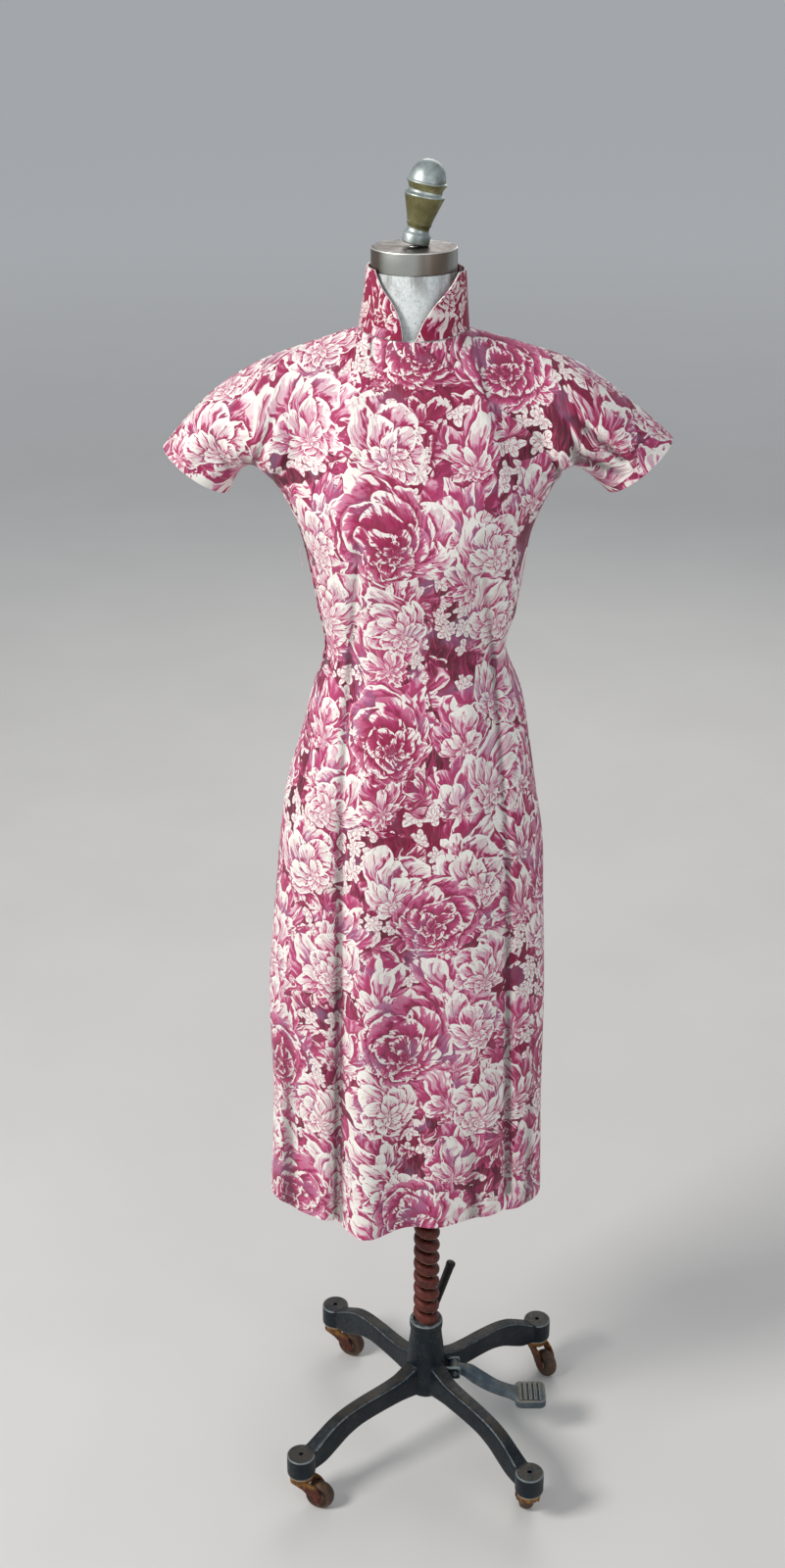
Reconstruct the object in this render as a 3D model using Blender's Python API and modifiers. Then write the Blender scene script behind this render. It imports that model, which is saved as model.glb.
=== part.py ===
"""A cheongsam dress with cut-on cap sleeves, worn on a limbless dress form.

The form stands on a rod with a coil spring, in a four-legged cast-iron base on casters.
Metres, +Z up. The floor is z = 0, the dress faces -Y, and x = 0 is the middle of the object's box.
"""
from bisect import bisect_right
from math import cos, exp, hypot, pi, radians, sin

import bmesh
import bpy
from mathutils import Matrix, Vector

# Driving dimensions of the cloth
CLOTH = 0.0016
COLLAR_WALL = 0.0024
GAP = 0.0003
HEM_Z = 0.389
CHEST_Z = (1.272, 1.279)
SQUARENESS = 2.2
COLUMNS = 26
ROWS_DOWN = 18
ROWS_UP = 7
SLEEVE_COLUMNS = 5
SLEEVE_SPAN = 0.5

# Neckline and collar
NECK_X = -0.005
NECK_HALF_WIDTH = 0.0565
NECK_HALF_DEPTH = 0.055
NECK_SHARE = 0.5
NECK_Z = {"front": 1.428, "side": 1.4325, "back": 1.441}
COLLAR_TOP = {"shift": 0.003, "half_width": 0.050, "half_depth": 0.051, "z": 1.4945, "drop": 0.0035}
COLLAR_ROWS = 5
COLLAR_COLUMNS = 30

# Sleeves: half the depth from front to back, and how far the cuff bows out between its seams
ARMHOLE_DEPTH = 0.055
CUFF_DEPTH = 0.041
CUFF_BOW = 0.002

# The small front runs this far under the edge of the main front
OPENING_LAP = 0.022
OPENING_RAMP = 0.028

# The rows of the panel, counted from the hem, that the side closing runs over
PLACKET_ROWS = range(14, 18)

# Form, rod, spring and casting
POST_X = 0.016
FORM_BOTTOM = 0.700
FORM_COLUMNS = 26
NECK_TOP = 1.4897
CAP_RADIUS = 0.0435
CAP_HEIGHT = 0.0225
FINIAL_LEAN = radians(11)
FINIAL_FOOT = 0.013
ROD_RADIUS = 0.006
ROD_BOTTOM = 0.092
ROD_COLLAR_Z = 0.452
SPRING_RADIUS = 0.0115
WIRE_RADIUS = 0.0045
SPRING_PITCH = 0.0187
CUP_FLOOR = 0.1765
CUP_RADIUS = 0.0168
HUB_TOP = 0.1825
LEG_ANGLES = {"front_left": 219, "front_right": 308.5, "back_right": 40.5, "back_left": 127}
LEG_REACH = 0.200
BOSS_RADIUS = 0.0175
BOSS_BOTTOM = 0.047
BOSS_TOP = 0.075

# Casters: the way each one trails, in degrees from +X
TRAIL_ANGLES = {"front_left": -18, "front_right": 95, "back_right": -60, "back_left": -26}
TRAIL = 0.024
WHEEL_RADIUS = 0.018
WHEEL_WIDTH = 0.016
WHEEL_SIDES = 20
AXLE_RADIUS = 0.003
STEM_RADIUS = 0.004
FORK_PLATE = 0.0028

# Pedal and lock
PEDAL_PIVOT = (POST_X + 0.037, 0.0, 0.102)
PEDAL_PIN = 0.003
PEDAL_RIBS = 5
LOCK_PIVOT = (POST_X + 0.0065, 0.0, 0.160)
LOCK_LEAN = radians(17)
LOCK_LENGTH = 0.088

FRONT, BACK = -1, 1

BODY = [  # height, left side, right side, front depth, back depth
    (0.389, -0.1750, 0.1540, 0.086, 0.106),
    (0.527, -0.1690, 0.1510, 0.090, 0.108),
    (0.675, -0.1700, 0.1500, 0.095, 0.111),
    (0.803, -0.1590, 0.1450, 0.101, 0.116),
    (0.867, -0.1530, 0.1420, 0.102, 0.119),
    (0.925, -0.1450, 0.1330, 0.100, 0.117),
    (0.990, -0.1270, 0.1230, 0.095, 0.107),
    (1.040, -0.1140, 0.1140, 0.088, 0.093),
    (1.090, -0.0980, 0.0960, 0.082, 0.080),
    (1.135, -0.1050, 0.1060, 0.091, 0.081),
    (1.180, -0.1130, 0.1130, 0.103, 0.085),
    (1.228, -0.1250, 0.1210, 0.112, 0.090),
    (1.280, -0.1500, 0.1445, 0.112, 0.093),
]

OVERARM_LEFT = [  # share of the way from neck to cuff, x, height
    (0.0, -0.0615, 1.4335),
    (0.2, -0.1150, 1.4160),
    (0.4, -0.1640, 1.3970),
    (0.6, -0.2060, 1.3710),
    (0.8, -0.2370, 1.3420),
    (1.0, -0.2640, 1.3110),
]

OVERARM_RIGHT = [  # share of the way from neck to cuff, x, height
    (0.0, 0.0515, 1.4320),
    (0.2, 0.1130, 1.4150),
    (0.4, 0.1640, 1.3960),
    (0.6, 0.2050, 1.3680),
    (0.8, 0.2370, 1.3420),
    (1.0, 0.2630, 1.3200),
]

UNDERARM_LEFT = [  # share of the way from chest to cuff, x, height
    (0.00, -0.1472, 1.2720),
    (0.25, -0.1590, 1.2860),
    (0.50, -0.1730, 1.2920),
    (0.75, -0.1850, 1.2870),
    (1.00, -0.1960, 1.2700),
]

UNDERARM_RIGHT = [  # share of the way from chest to cuff, x, height
    (0.00, 0.1442, 1.2790),
    (0.25, 0.1510, 1.2870),
    (0.50, 0.1610, 1.2900),
    (0.75, 0.1760, 1.2840),
    (1.00, 0.1960, 1.2700),
]

CUPS = [  # x, height, radius, how far it stands out
    (-0.056, 1.225, 0.055, 0.010),
    (0.056, 1.225, 0.055, 0.010),
]

FOLDS = [  # side, start x, z, end x, z, stands out at start, at end, half width
    (FRONT, -0.048, 1.080, -0.060, 0.360, 0.000, 0.034, 0.034),
    (FRONT, -0.073, 1.070, -0.093, 0.370, -0.004, -0.009, 0.014),
    (FRONT, 0.078, 1.100, 0.108, 0.370, -0.003, -0.007, 0.015),
    (FRONT, -0.062, 1.220, -0.072, 1.030, -0.003, -0.004, 0.012),
    (FRONT, 0.062, 1.200, 0.080, 1.040, -0.003, -0.005, 0.012),
    (FRONT, 0.140, 1.370, 0.212, 1.318, 0.003, 0.007, 0.014),
    (FRONT, -0.126, 1.330, -0.110, 1.290, -0.005, -0.003, 0.012),
    (FRONT, 0.128, 1.335, 0.112, 1.300, -0.005, -0.003, 0.012),
    (FRONT, -0.185, 1.340, -0.222, 1.302, -0.003, -0.005, 0.013),
    (BACK, -0.058, 1.180, -0.056, 1.000, -0.004, -0.003, 0.013),
    (BACK, 0.054, 1.180, 0.056, 1.000, -0.004, -0.003, 0.013),
    (BACK, -0.070, 0.860, -0.082, 0.360, 0.000, 0.012, 0.030),
    (BACK, 0.050, 0.840, 0.066, 0.360, 0.000, 0.010, 0.028),
    (BACK, 0.000, 0.760, -0.006, 0.360, 0.000, -0.008, 0.026),
    (BACK, -0.128, 1.340, -0.112, 1.290, -0.005, -0.003, 0.013),
    (BACK, 0.130, 1.345, 0.112, 1.295, -0.006, -0.003, 0.013),
]

OPENING_EDGE = [  # x, height of the diagonal opening edge
    (0.003, 1.4240),
    (0.034, 1.3970),
    (0.075, 1.3680),
    (0.115, 1.3360),
    (0.136, 1.3060),
    (0.150, 1.2830),
]

COLLAR_EDGES = [  # share of the height, left and right edge in degrees from the front
    (0.00, -12, 1),
    (0.30, -15, 9),
    (0.55, -24, 22),
    (0.78, -42, 41),
    (1.00, -58, 58),
]

FORM = [  # height, middle x, half width, half depth in front, half depth at the back, squareness
    (0.700, -0.0090, 0.132, 0.082, 0.094, 2.1),
    (0.800, -0.0070, 0.141, 0.089, 0.105, 2.1),
    (0.867, -0.0055, 0.138, 0.092, 0.109, 2.1),
    (0.925, -0.0060, 0.130, 0.090, 0.107, 2.1),
    (0.990, -0.0020, 0.116, 0.085, 0.097, 2.1),
    (1.040, 0.0000, 0.104, 0.078, 0.082, 2.1),
    (1.090, -0.0010, 0.088, 0.073, 0.070, 2.1),
    (1.135, 0.0005, 0.095, 0.082, 0.071, 2.1),
    (1.180, 0.0000, 0.104, 0.094, 0.075, 2.1),
    (1.228, -0.0020, 0.114, 0.102, 0.080, 2.1),
    (1.272, -0.0020, 0.127, 0.100, 0.082, 2.1),
    (1.320, -0.0020, 0.130, 0.090, 0.078, 2.1),
    (1.360, -0.0030, 0.117, 0.076, 0.070, 2.0),
    (1.390, -0.0040, 0.092, 0.063, 0.062, 2.0),
    (1.412, -0.0050, 0.066, 0.056, 0.056, 2.0),
]

FORM_NECK = [  # height, half width and half depth
    (1.4470, 0.0465),
    (1.4897, 0.0425),
]

LEG = [  # distance from the post, top, underside, half width
    (0.012, 0.124, 0.074, 0.0115),
    (0.028, 0.117, 0.076, 0.0105),
    (0.050, 0.109, 0.078, 0.0095),
    (0.105, 0.106, 0.0765, 0.0088),
    (0.130, 0.103, 0.070, 0.0088),
    (0.150, 0.097, 0.059, 0.0090),
    (0.168, 0.087, 0.050, 0.0094),
    (0.190, 0.073, 0.0475, 0.0105),
]

PEDAL_ARM = [  # distance from the pivot, height of the middle, half width, half height
    (0.003, 0.1020, 0.0062, 0.0065),
    (0.012, 0.0985, 0.0066, 0.0085),
    (0.022, 0.0930, 0.0095, 0.0095),
    (0.040, 0.0800, 0.0092, 0.0088),
    (0.056, 0.0700, 0.0080, 0.0075),
    (0.070, 0.0640, 0.0085, 0.0070),
    (0.080, 0.0595, 0.0130, 0.0065),
]

PARTS = None
GUIDES = None


def clear_scene():
    """Start from nothing, and make the collections for the parts and their cutters."""
    global PARTS, GUIDES
    for obj in list(bpy.data.objects):
        bpy.data.objects.remove(obj, do_unlink=True)
    PARTS = bpy.data.collections.new("cheongsam_on_form")
    GUIDES = bpy.data.collections.new("cutters")
    for group in (PARTS, GUIDES):
        bpy.context.scene.collection.children.link(group)


def make_material(name, colour, roughness, metallic=0.0):
    """A plain Principled material."""
    mat = bpy.data.materials.new(name)
    mat.use_nodes = True
    shader = mat.node_tree.nodes["Principled BSDF"]
    shader.inputs["Base Color"].default_value = (*colour, 1.0)
    shader.inputs["Roughness"].default_value = roughness
    shader.inputs["Metallic"].default_value = metallic
    mat.diffuse_color = (*colour, 1.0)
    return mat


def add_object(name, mesh, mat=None):
    """Link a new object for a mesh, with its material."""
    obj = bpy.data.objects.new(name, mesh)
    PARTS.objects.link(obj)
    if mat is not None:
        mesh.materials.clear()
        mesh.materials.append(mat)
    return obj


def smooth_mesh(mesh, angle=35):
    """Shade a mesh smooth, with sharp edges kept."""
    mesh.shade_smooth()
    mesh.set_sharp_from_angle(angle=radians(angle))


def as_guide(obj):
    """Turn an object into a cutter that the model leaves out."""
    obj.hide_render = True
    obj.display_type = "WIRE"
    for group in list(obj.users_collection):
        group.objects.unlink(obj)
    GUIDES.objects.link(obj)


def boolean(target, other, operation):
    """Join or cut the target with another object."""
    mod = target.modifiers.new(operation.lower() + "_" + other.name, "BOOLEAN")
    mod.operation = operation
    mod.solver = "EXACT"
    mod.object = other
    as_guide(other)


def baked_mesh(obj, name):
    """The object's evaluated mesh, in world space, as new data; the object is removed."""
    bpy.context.view_layer.update()
    graph = bpy.context.evaluated_depsgraph_get()
    mesh = bpy.data.meshes.new_from_object(obj.evaluated_get(graph))
    mesh.transform(obj.matrix_world)
    mesh.name = name
    bpy.data.objects.remove(obj, do_unlink=True)
    return mesh


def turned(name, profile, mat=None, segments=32, ring=False):
    """A turned shape round Z, from a profile of (radius, height) down its outer side."""
    mesh = bpy.data.meshes.new(name)
    count = len(profile)
    edges = [(i, i + 1) for i in range(count - 1)]
    if ring:
        edges.append((count - 1, 0))
    mesh.from_pydata([(r, 0.0, z) for r, z in profile], edges, [])
    obj = add_object(name, mesh, mat)
    screw = obj.modifiers.new("turn", "SCREW")
    screw.axis = "Z"
    screw.angle = 2 * pi
    screw.steps = segments
    screw.render_steps = segments
    screw.use_merge_vertices = True
    screw.merge_threshold = 0.0001
    return obj


def cylinder(name, radius, start, end, segments=20, mat=None):
    """A straight round bar between two points."""
    start, end = Vector(start), Vector(end)
    axis = end - start
    bm = bmesh.new()
    turn = axis.to_track_quat("Z", "Y").to_matrix().to_4x4()
    place = Matrix.Translation((start + end) / 2) @ turn
    bmesh.ops.create_cone(bm, cap_ends=True, segments=segments, radius1=radius, radius2=radius,
                          depth=axis.length, matrix=place)
    mesh = bpy.data.meshes.new(name)
    bm.to_mesh(mesh)
    bm.free()
    return add_object(name, mesh, mat)


def box(name, low, high, mat=None):
    """A box between two corners."""
    low, high = Vector(low), Vector(high)
    bm = bmesh.new()
    size = Matrix.Diagonal((*(high - low), 1.0))
    bmesh.ops.create_cube(bm, size=1.0, matrix=Matrix.Translation((low + high) / 2) @ size)
    mesh = bpy.data.meshes.new(name)
    bm.to_mesh(mesh)
    bm.free()
    return add_object(name, mesh, mat)


def loft(name, rings, mat=None):
    """A closed solid through rings of points that run the same way round."""
    bm = bmesh.new()
    rows = [[bm.verts.new(p) for p in ring] for ring in rings]
    count = len(rows[0])
    for low, high in zip(rows, rows[1:]):
        for i in range(count):
            j = (i + 1) % count
            bm.faces.new((low[i], low[j], high[j], high[i]))
    bm.faces.new(list(reversed(rows[0])))
    bm.faces.new(rows[-1])
    bmesh.ops.recalc_face_normals(bm, faces=bm.faces)
    mesh = bpy.data.meshes.new(name)
    bm.to_mesh(mesh)
    bm.free()
    return add_object(name, mesh, mat)


def smoothstep(low, high, value):
    """0 below low, 1 above high, and a soft rise between."""
    t = min(max((value - low) / (high - low), 0.0), 1.0)
    return t * t * (3 - 2 * t)


def mix(a, b, t):
    """The value at share t between a and b."""
    return a + (b - a) * t


def smooth_row(table, key):
    """The other columns of a table at a key between its rows, on a smooth curve."""
    keys = [row[0] for row in table]
    last = len(keys) - 1
    i = min(max(bisect_right(keys, key) - 1, 0), last - 1)
    span = keys[i + 1] - keys[i]
    t = min(max((key - keys[i]) / span, 0.0), 1.0)

    def slope(j, column):
        a, b = max(j - 1, 0), min(j + 1, last)
        return (table[b][column] - table[a][column]) / (keys[b] - keys[a]) * span

    values = []
    for column in range(1, len(table[0])):
        a, b = table[i][column], table[i + 1][column]
        rise, fall = slope(i, column), slope(i + 1, column)
        values.append((2 * t**3 - 3 * t**2 + 1) * a + (t**3 - 2 * t**2 + t) * rise
                      + (3 * t**2 - 2 * t**3) * b + (t**3 - t**2) * fall)
    return values


def fold_height(side, x, z):
    """How far the folds and cups stand out of the cloth at a place on its front or back."""
    height = 0.0
    if side == FRONT:
        for cup_x, cup_z, radius, rise in CUPS:
            height += rise * exp(-((x - cup_x) ** 2 + (z - cup_z) ** 2) / radius**2)
    for fold_side, x0, z0, x1, z1, start, end, width in FOLDS:
        if fold_side != side:
            continue
        length = hypot(x1 - x0, z1 - z0)
        along = ((x - x0) * (x1 - x0) + (z - z0) * (z1 - z0)) / length
        share = min(max(along / length, 0.0), 1.0)
        away = hypot(x - mix(x0, x1, share), z - mix(z0, z1, share))
        height += mix(start, end, share) * exp(-((away / width) ** 2))
    return height


def torso_point(side, across, z):
    """A point of the bodice or skirt; across runs from -1 at the left seam to 1 at the right."""
    left, right, front, back = smooth_row(BODY, z)
    share = sin(across * pi / 2)
    depth = front if side == FRONT else back
    round_off = max(1 - abs(share) ** SQUARENESS, 0.0) ** (1 / SQUARENESS)
    x = mix(left, right, (share + 1) / 2)
    edge = 1 - abs(share) ** 8
    return Vector((x, side * (depth * round_off + fold_height(side, x, z) * edge), z))


def chest_height(across):
    """The height of the line between the two underarm corners."""
    return mix(CHEST_Z[0], CHEST_Z[1], (sin(across * pi / 2) + 1) / 2)


def neck_point(side, turn):
    """A point of the neckline; turn is 0 in the middle and -90 or 90 degrees at the sides."""
    middle = NECK_Z["front"] if side == FRONT else NECK_Z["back"]
    z = mix(NECK_Z["side"], middle, cos(turn) ** 2)
    return Vector((NECK_X + NECK_HALF_WIDTH * sin(turn), side * NECK_HALF_DEPTH * cos(turn), z))


def top_point(side, across):
    """A point of the neckline, the shoulder seam or the seam along the top of a sleeve."""
    reach = abs(across)
    if reach <= NECK_SHARE:
        return neck_point(side, across / NECK_SHARE * pi / 2)
    share = (reach - NECK_SHARE) / (1 + SLEEVE_SPAN - NECK_SHARE)
    x, z = smooth_row(OVERARM_LEFT if across < 0 else OVERARM_RIGHT, share)
    return Vector((x, 0.0, z))


def bottom_point(side, across):
    """A point of the chest line or of the seam under a sleeve."""
    if abs(across) <= 1:
        return torso_point(side, across, chest_height(across))
    share = (abs(across) - 1) / SLEEVE_SPAN
    x, z = smooth_row(UNDERARM_LEFT if across < 0 else UNDERARM_RIGHT, share)
    return Vector((x, 0.0, z))


def upper_point(side, across, up):
    """A point of the upper bodice or a sleeve; up runs from the chest line to the top seam."""
    low, high = bottom_point(side, across), top_point(side, across)
    reach = abs(across)
    roundness = mix(0.25, 0.92, smoothstep(0.15, NECK_SHARE, reach))
    rise = mix(up, sin(up * pi / 2), roundness)
    fall = mix(1 - up, cos(up * pi / 2), roundness)
    flat = low.lerp(high, rise)
    flat.y = high.y + (low.y - high.y) * fall
    half = (1 - cos(up * pi)) / 2
    bulge = low.lerp(high, half)
    sleeve = smoothstep(1.0, 1 + SLEEVE_SPAN, reach)
    bulge.y += side * mix(ARMHOLE_DEPTH, CUFF_DEPTH, sleeve) * sin(up * pi)
    point = flat.lerp(bulge, smoothstep(NECK_SHARE, 1.0, reach))
    if reach > 1:
        axis = Vector((high.z - low.z, 0.0, low.x - high.x)).normalized()
        axis *= 1 if across > 0 else -1
        point += axis * CUFF_BOW * sleeve * sin(up * pi)
        point.y += side * fold_height(side, point.x, point.z) * sin(up * pi) ** 0.5
    elif up > 0:
        edge = mix(1 - abs(sin(across * pi / 2)) ** 8, sin(up * pi) ** 0.5, smoothstep(0, 0.3, up))
        point.y += side * (fold_height(side, point.x, point.z) * edge * (1 - smoothstep(0.7, 1, up)))
        low_fold = fold_height(side, low.x, low.z) * (1 - abs(sin(across * pi / 2)) ** 8)
        point.y -= side * low_fold * (fall if reach <= NECK_SHARE else mix(fall, 1 - half,
                                      smoothstep(NECK_SHARE, 1.0, reach)))
    return point


def columns_across():
    """Where the columns of a panel stand, from one cuff to the other."""
    step = SLEEVE_SPAN / SLEEVE_COLUMNS
    outer = [1 + step * i for i in range(1, SLEEVE_COLUMNS + 1)]
    middle = [-1 + 2 * i / COLUMNS for i in range(COLUMNS + 1)]
    return [-value for value in reversed(outer)] + middle + outer


def panel_sheet(side):
    """The front or back of the dress as one open sheet, from the hem to the top seams."""
    bm = bmesh.new()
    grid = {}
    places = columns_across()
    for j, across in enumerate(places):
        if abs(across) <= 1:
            for k in range(ROWS_DOWN):
                z = mix(HEM_Z, chest_height(across), k / ROWS_DOWN)
                grid[j, k] = bm.verts.new(torso_point(side, across, z))
        for k in range(ROWS_UP + 1):
            grid[j, ROWS_DOWN + k] = bm.verts.new(upper_point(side, across, k / ROWS_UP))
    for j in range(len(places) - 1):
        for k in range(ROWS_DOWN + ROWS_UP):
            corners = [(j, k), (j + 1, k), (j + 1, k + 1), (j, k + 1)]
            if all(corner in grid for corner in corners):
                if side == BACK:
                    corners.reverse()
                bm.faces.new([grid[corner] for corner in corners])
    bmesh.ops.triangulate(bm, faces=bm.faces)
    return bm


def wall(name, bm, thickness, mat, sunk=None, seam_side=0):
    """Give a sheet its thickness inwards and close its rims.

    sunk says how far below the sheet the outer face lies at a vertex. A vertex on the seam
    plane y = 0 is thickened within that plane, and moved half a gap to its own side of it.
    """
    bm.normal_update()
    bm.verts.index_update()
    outer, inner = [], []
    for vert in bm.verts:
        normal = vert.normal.copy()
        shift = Vector()
        if seam_side and abs(vert.co.y) < 1e-5:
            normal.y = 0.0
            normal.normalize()
            shift.y = seam_side * GAP / 2
        depth = sunk(vert) if sunk else 0.0
        outer.append(vert.co - normal * depth + shift)
        inner.append(vert.co - normal * (depth + thickness) + shift)
    count = len(outer)
    faces = []
    for face in bm.faces:
        ids = [v.index for v in face.verts]
        faces.append(ids)
        faces.append([i + count for i in reversed(ids)])
    for edge in bm.edges:
        if not edge.is_boundary:
            continue
        loop = edge.link_loops[0]
        a, b = loop.vert.index, loop.link_loop_next.vert.index
        faces.append([b, a, a + count, b + count])
    mesh = bpy.data.meshes.new(name)
    mesh.from_pydata(outer + inner, [], faces)
    mesh.update()
    smooth_mesh(mesh, 50)
    bm.free()
    return add_object(name, mesh, mat)


def opening_shift(x):
    """How far the diagonal opening edge lies above a straight line between its ends."""
    (x0, z0), (x1, z1) = OPENING_EDGE[0], OPENING_EDGE[-1]
    if not x0 < x < x1:
        return 0.0
    return smooth_row(OPENING_EDGE, x)[0] - mix(z0, z1, (x - x0) / (x1 - x0))


def above_opening(point):
    """The distance of a place above the diagonal opening edge, below it as a negative."""
    (x0, z0), (x1, z1) = OPENING_EDGE[0], OPENING_EDGE[-1]
    length = hypot(x1 - x0, z1 - z0)
    height = point.z - opening_shift(point.x)
    return ((height - z0) * (x1 - x0) - (point.x - x0) * (z1 - z0)) / length


def cut_along_opening(bm, lap):
    """Add edges along the opening edge, lowered by lap: straighten it, bisect, bend it back."""
    (x0, z0), (x1, z1) = OPENING_EDGE[0], OPENING_EDGE[-1]
    normal = Vector((z0 - z1, 0.0, x1 - x0)).normalized()
    for vert in bm.verts:
        vert.co.z -= opening_shift(vert.co.x)
    everything = bm.verts[:] + bm.edges[:] + bm.faces[:]
    start = Vector((x0, 0.0, z0)) - normal * lap
    bmesh.ops.bisect_plane(bm, geom=everything, dist=0.0008, plane_co=start, plane_no=normal)
    for vert in bm.verts:
        vert.co.z += opening_shift(vert.co.x)
    bmesh.ops.triangulate(bm, faces=bm.faces)


def keep_faces(bm, test):
    """Delete the faces whose middle fails a test, and what they leave loose."""
    gone = [face for face in bm.faces if not test(above_opening(face.calc_center_median()))]
    bmesh.ops.delete(bm, geom=gone, context="FACES")
    return bm


def make_dress(cloth):
    """The main front, the small front under the opening, and the back."""
    main = panel_sheet(FRONT)
    cut_along_opening(main, 0.0)
    wall("dress_front", keep_faces(main, lambda d: d < 0), CLOTH, cloth, seam_side=FRONT)

    inset = panel_sheet(FRONT)
    cut_along_opening(inset, 0.0)
    cut_along_opening(inset, OPENING_LAP)

    def sunk(vert):
        near = 1 - smoothstep(0.001, OPENING_RAMP, above_opening(vert.co))
        return (CLOTH + GAP) * near

    keep_faces(inset, lambda d: d > -OPENING_LAP)
    wall("dress_front_inset", inset, CLOTH, cloth, sunk=sunk, seam_side=FRONT)
    wall("dress_back", panel_sheet(BACK), CLOTH, cloth, seam_side=BACK)


def collar_point(share, turn):
    """A point of the collar's outer face, at a share of its height and a turn from the front."""
    side = FRONT if cos(turn) > 0 else BACK
    low = neck_point(side, 0.0)
    low.z = mix(NECK_Z["side"], low.z, cos(turn) ** 2) + 0.0005
    bend = share ** 0.85
    middle = NECK_X + COLLAR_TOP["shift"] * bend
    width = mix(NECK_HALF_WIDTH, COLLAR_TOP["half_width"], bend)
    depth = mix(NECK_HALF_DEPTH, COLLAR_TOP["half_depth"], bend)
    top = COLLAR_TOP["z"] - COLLAR_TOP["drop"] * (1 + sin(turn)) / 2
    return Vector((middle + width * sin(turn), -depth * cos(turn), mix(low.z, top, share)))


def make_collar(cloth):
    """The stand collar, open in a V at the front, from its right edge round the back."""
    bm = bmesh.new()
    rows = []
    for k in range(COLLAR_ROWS + 1):
        share = k / COLLAR_ROWS
        left, right = smooth_row(COLLAR_EDGES, share)
        row = []
        for i in range(COLLAR_COLUMNS + 1):
            turn = radians(mix(right, left + 360, i / COLLAR_COLUMNS))
            row.append(bm.verts.new(collar_point(share, turn)))
        rows.append(row)
    for low, high in zip(rows, rows[1:]):
        for i in range(COLLAR_COLUMNS):
            bm.faces.new((low[i], low[i + 1], high[i + 1], high[i]))
    wall("dress_collar", bm, COLLAR_WALL, cloth)


def make_side_placket(cloth):
    """The strip over the side closing, made from the side seam's points moved out."""
    half_width = 0.0065
    bm = bmesh.new()
    grid = []
    for k in PLACKET_ROWS:
        z = mix(HEM_Z, chest_height(-1), k / ROWS_DOWN)
        row = []
        for offset in (-1.0, -0.5, 0.0, 0.5, 1.0):
            side = FRONT if offset < 0 else BACK
            depth = smooth_row(BODY, z)[2 if side == FRONT else 3]
            across = -1 + abs(offset) * half_width / depth * 2 / pi
            row.append(bm.verts.new(torso_point(side, across, z)))
        grid.append(row)
    for below, above in zip(grid, grid[1:]):
        for i in range(len(below) - 1):
            bm.faces.new((below[i + 1], below[i], above[i], above[i + 1]))
    wall("dress_side_placket", bm, CLOTH, cloth, sunk=lambda vert: -(CLOTH + GAP))


def neck_ring(inset, drop):
    """A ring that follows the neckline, inside it and below it; in front it leaves room for the lap."""
    ring = []
    for i in range(FORM_COLUMNS):
        turn = 2 * pi * i / FORM_COLUMNS
        middle, lap = (NECK_Z["back"], 0.0) if sin(turn) > 0 else (NECK_Z["front"], CLOTH + GAP)
        z = mix(NECK_Z["side"], middle, sin(turn) ** 2) - drop
        x = NECK_X + (NECK_HALF_WIDTH - inset) * cos(turn)
        depth = NECK_HALF_DEPTH - inset - lap * min(1.0, 2 * sin(turn) ** 2)
        ring.append((x, depth * sin(turn), z))
    return ring


def make_form(linen):
    """The limbless form, smooth and whole, from its flat underside to the top of the neck.

    Its neck base fits just inside the neckline, which is where it carries the dress.
    """
    rings = []
    for z, middle, width, front, back, square in FORM:
        ring = []
        for i in range(FORM_COLUMNS):
            turn = 2 * pi * i / FORM_COLUMNS
            across, along = cos(turn), sin(turn)
            depth = back if along > 0 else front
            x = abs(across) ** (2 / square) * (1 if across > 0 else -1)
            y = abs(along) ** (2 / square) * (1 if along > 0 else -1)
            ring.append((middle + width * x, depth * y, z))
        rings.append(ring)
    rings.append(neck_ring(0.0020, 0.0012))
    rings.append(neck_ring(0.0075, -0.0008))
    for z, half in FORM_NECK:
        turns = [2 * pi * i / FORM_COLUMNS for i in range(FORM_COLUMNS)]
        rings.append([(NECK_X + half * cos(turn), half * sin(turn), z) for turn in turns])
    form = loft("form_body", rings, linen)
    smooth_mesh(form.data, 50)


def make_cap_and_finial(steel, silver):
    """The neck cap with its thin washer, and the turned finial that leans on the edge of its foot."""
    bottom = NECK_TOP + GAP
    top = bottom + CAP_HEIGHT
    washer = top + 0.0008
    cap = turned("form_cap", [
        (0.0, washer), (0.006, washer), (0.006, top), (CAP_RADIUS - 0.0015, top),
        (CAP_RADIUS, top - 0.0015), (CAP_RADIUS, bottom + 0.001), (CAP_RADIUS - 0.001, bottom),
        (0.0, bottom)], steel, 32)
    cap.location.x = NECK_X
    smooth_mesh(cap.data)

    finial = turned("form_finial", [
        (0.0, 0.0822), (0.0075, 0.0806), (0.0135, 0.0759), (0.0172, 0.0687), (0.0187, 0.0612),
        (0.0199, 0.0597), (0.0199, 0.0578), (0.0171, 0.0536), (0.0171, 0.0508), (0.0199, 0.0474),
        (0.0197, 0.0450), (0.0178, 0.0392), (0.0138, 0.0262), (0.0112, 0.0155), (0.0114, 0.0120),
        (0.0138, 0.0095), (0.0140, 0.0010), (FINIAL_FOOT, 0.0), (0.0, 0.0)], silver, 22)
    finial.rotation_euler.y = FINIAL_LEAN
    finial.location = (NECK_X + 0.001, 0.0, top + FINIAL_FOOT * sin(FINIAL_LEAN) + GAP)
    smooth_mesh(finial.data)


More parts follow.
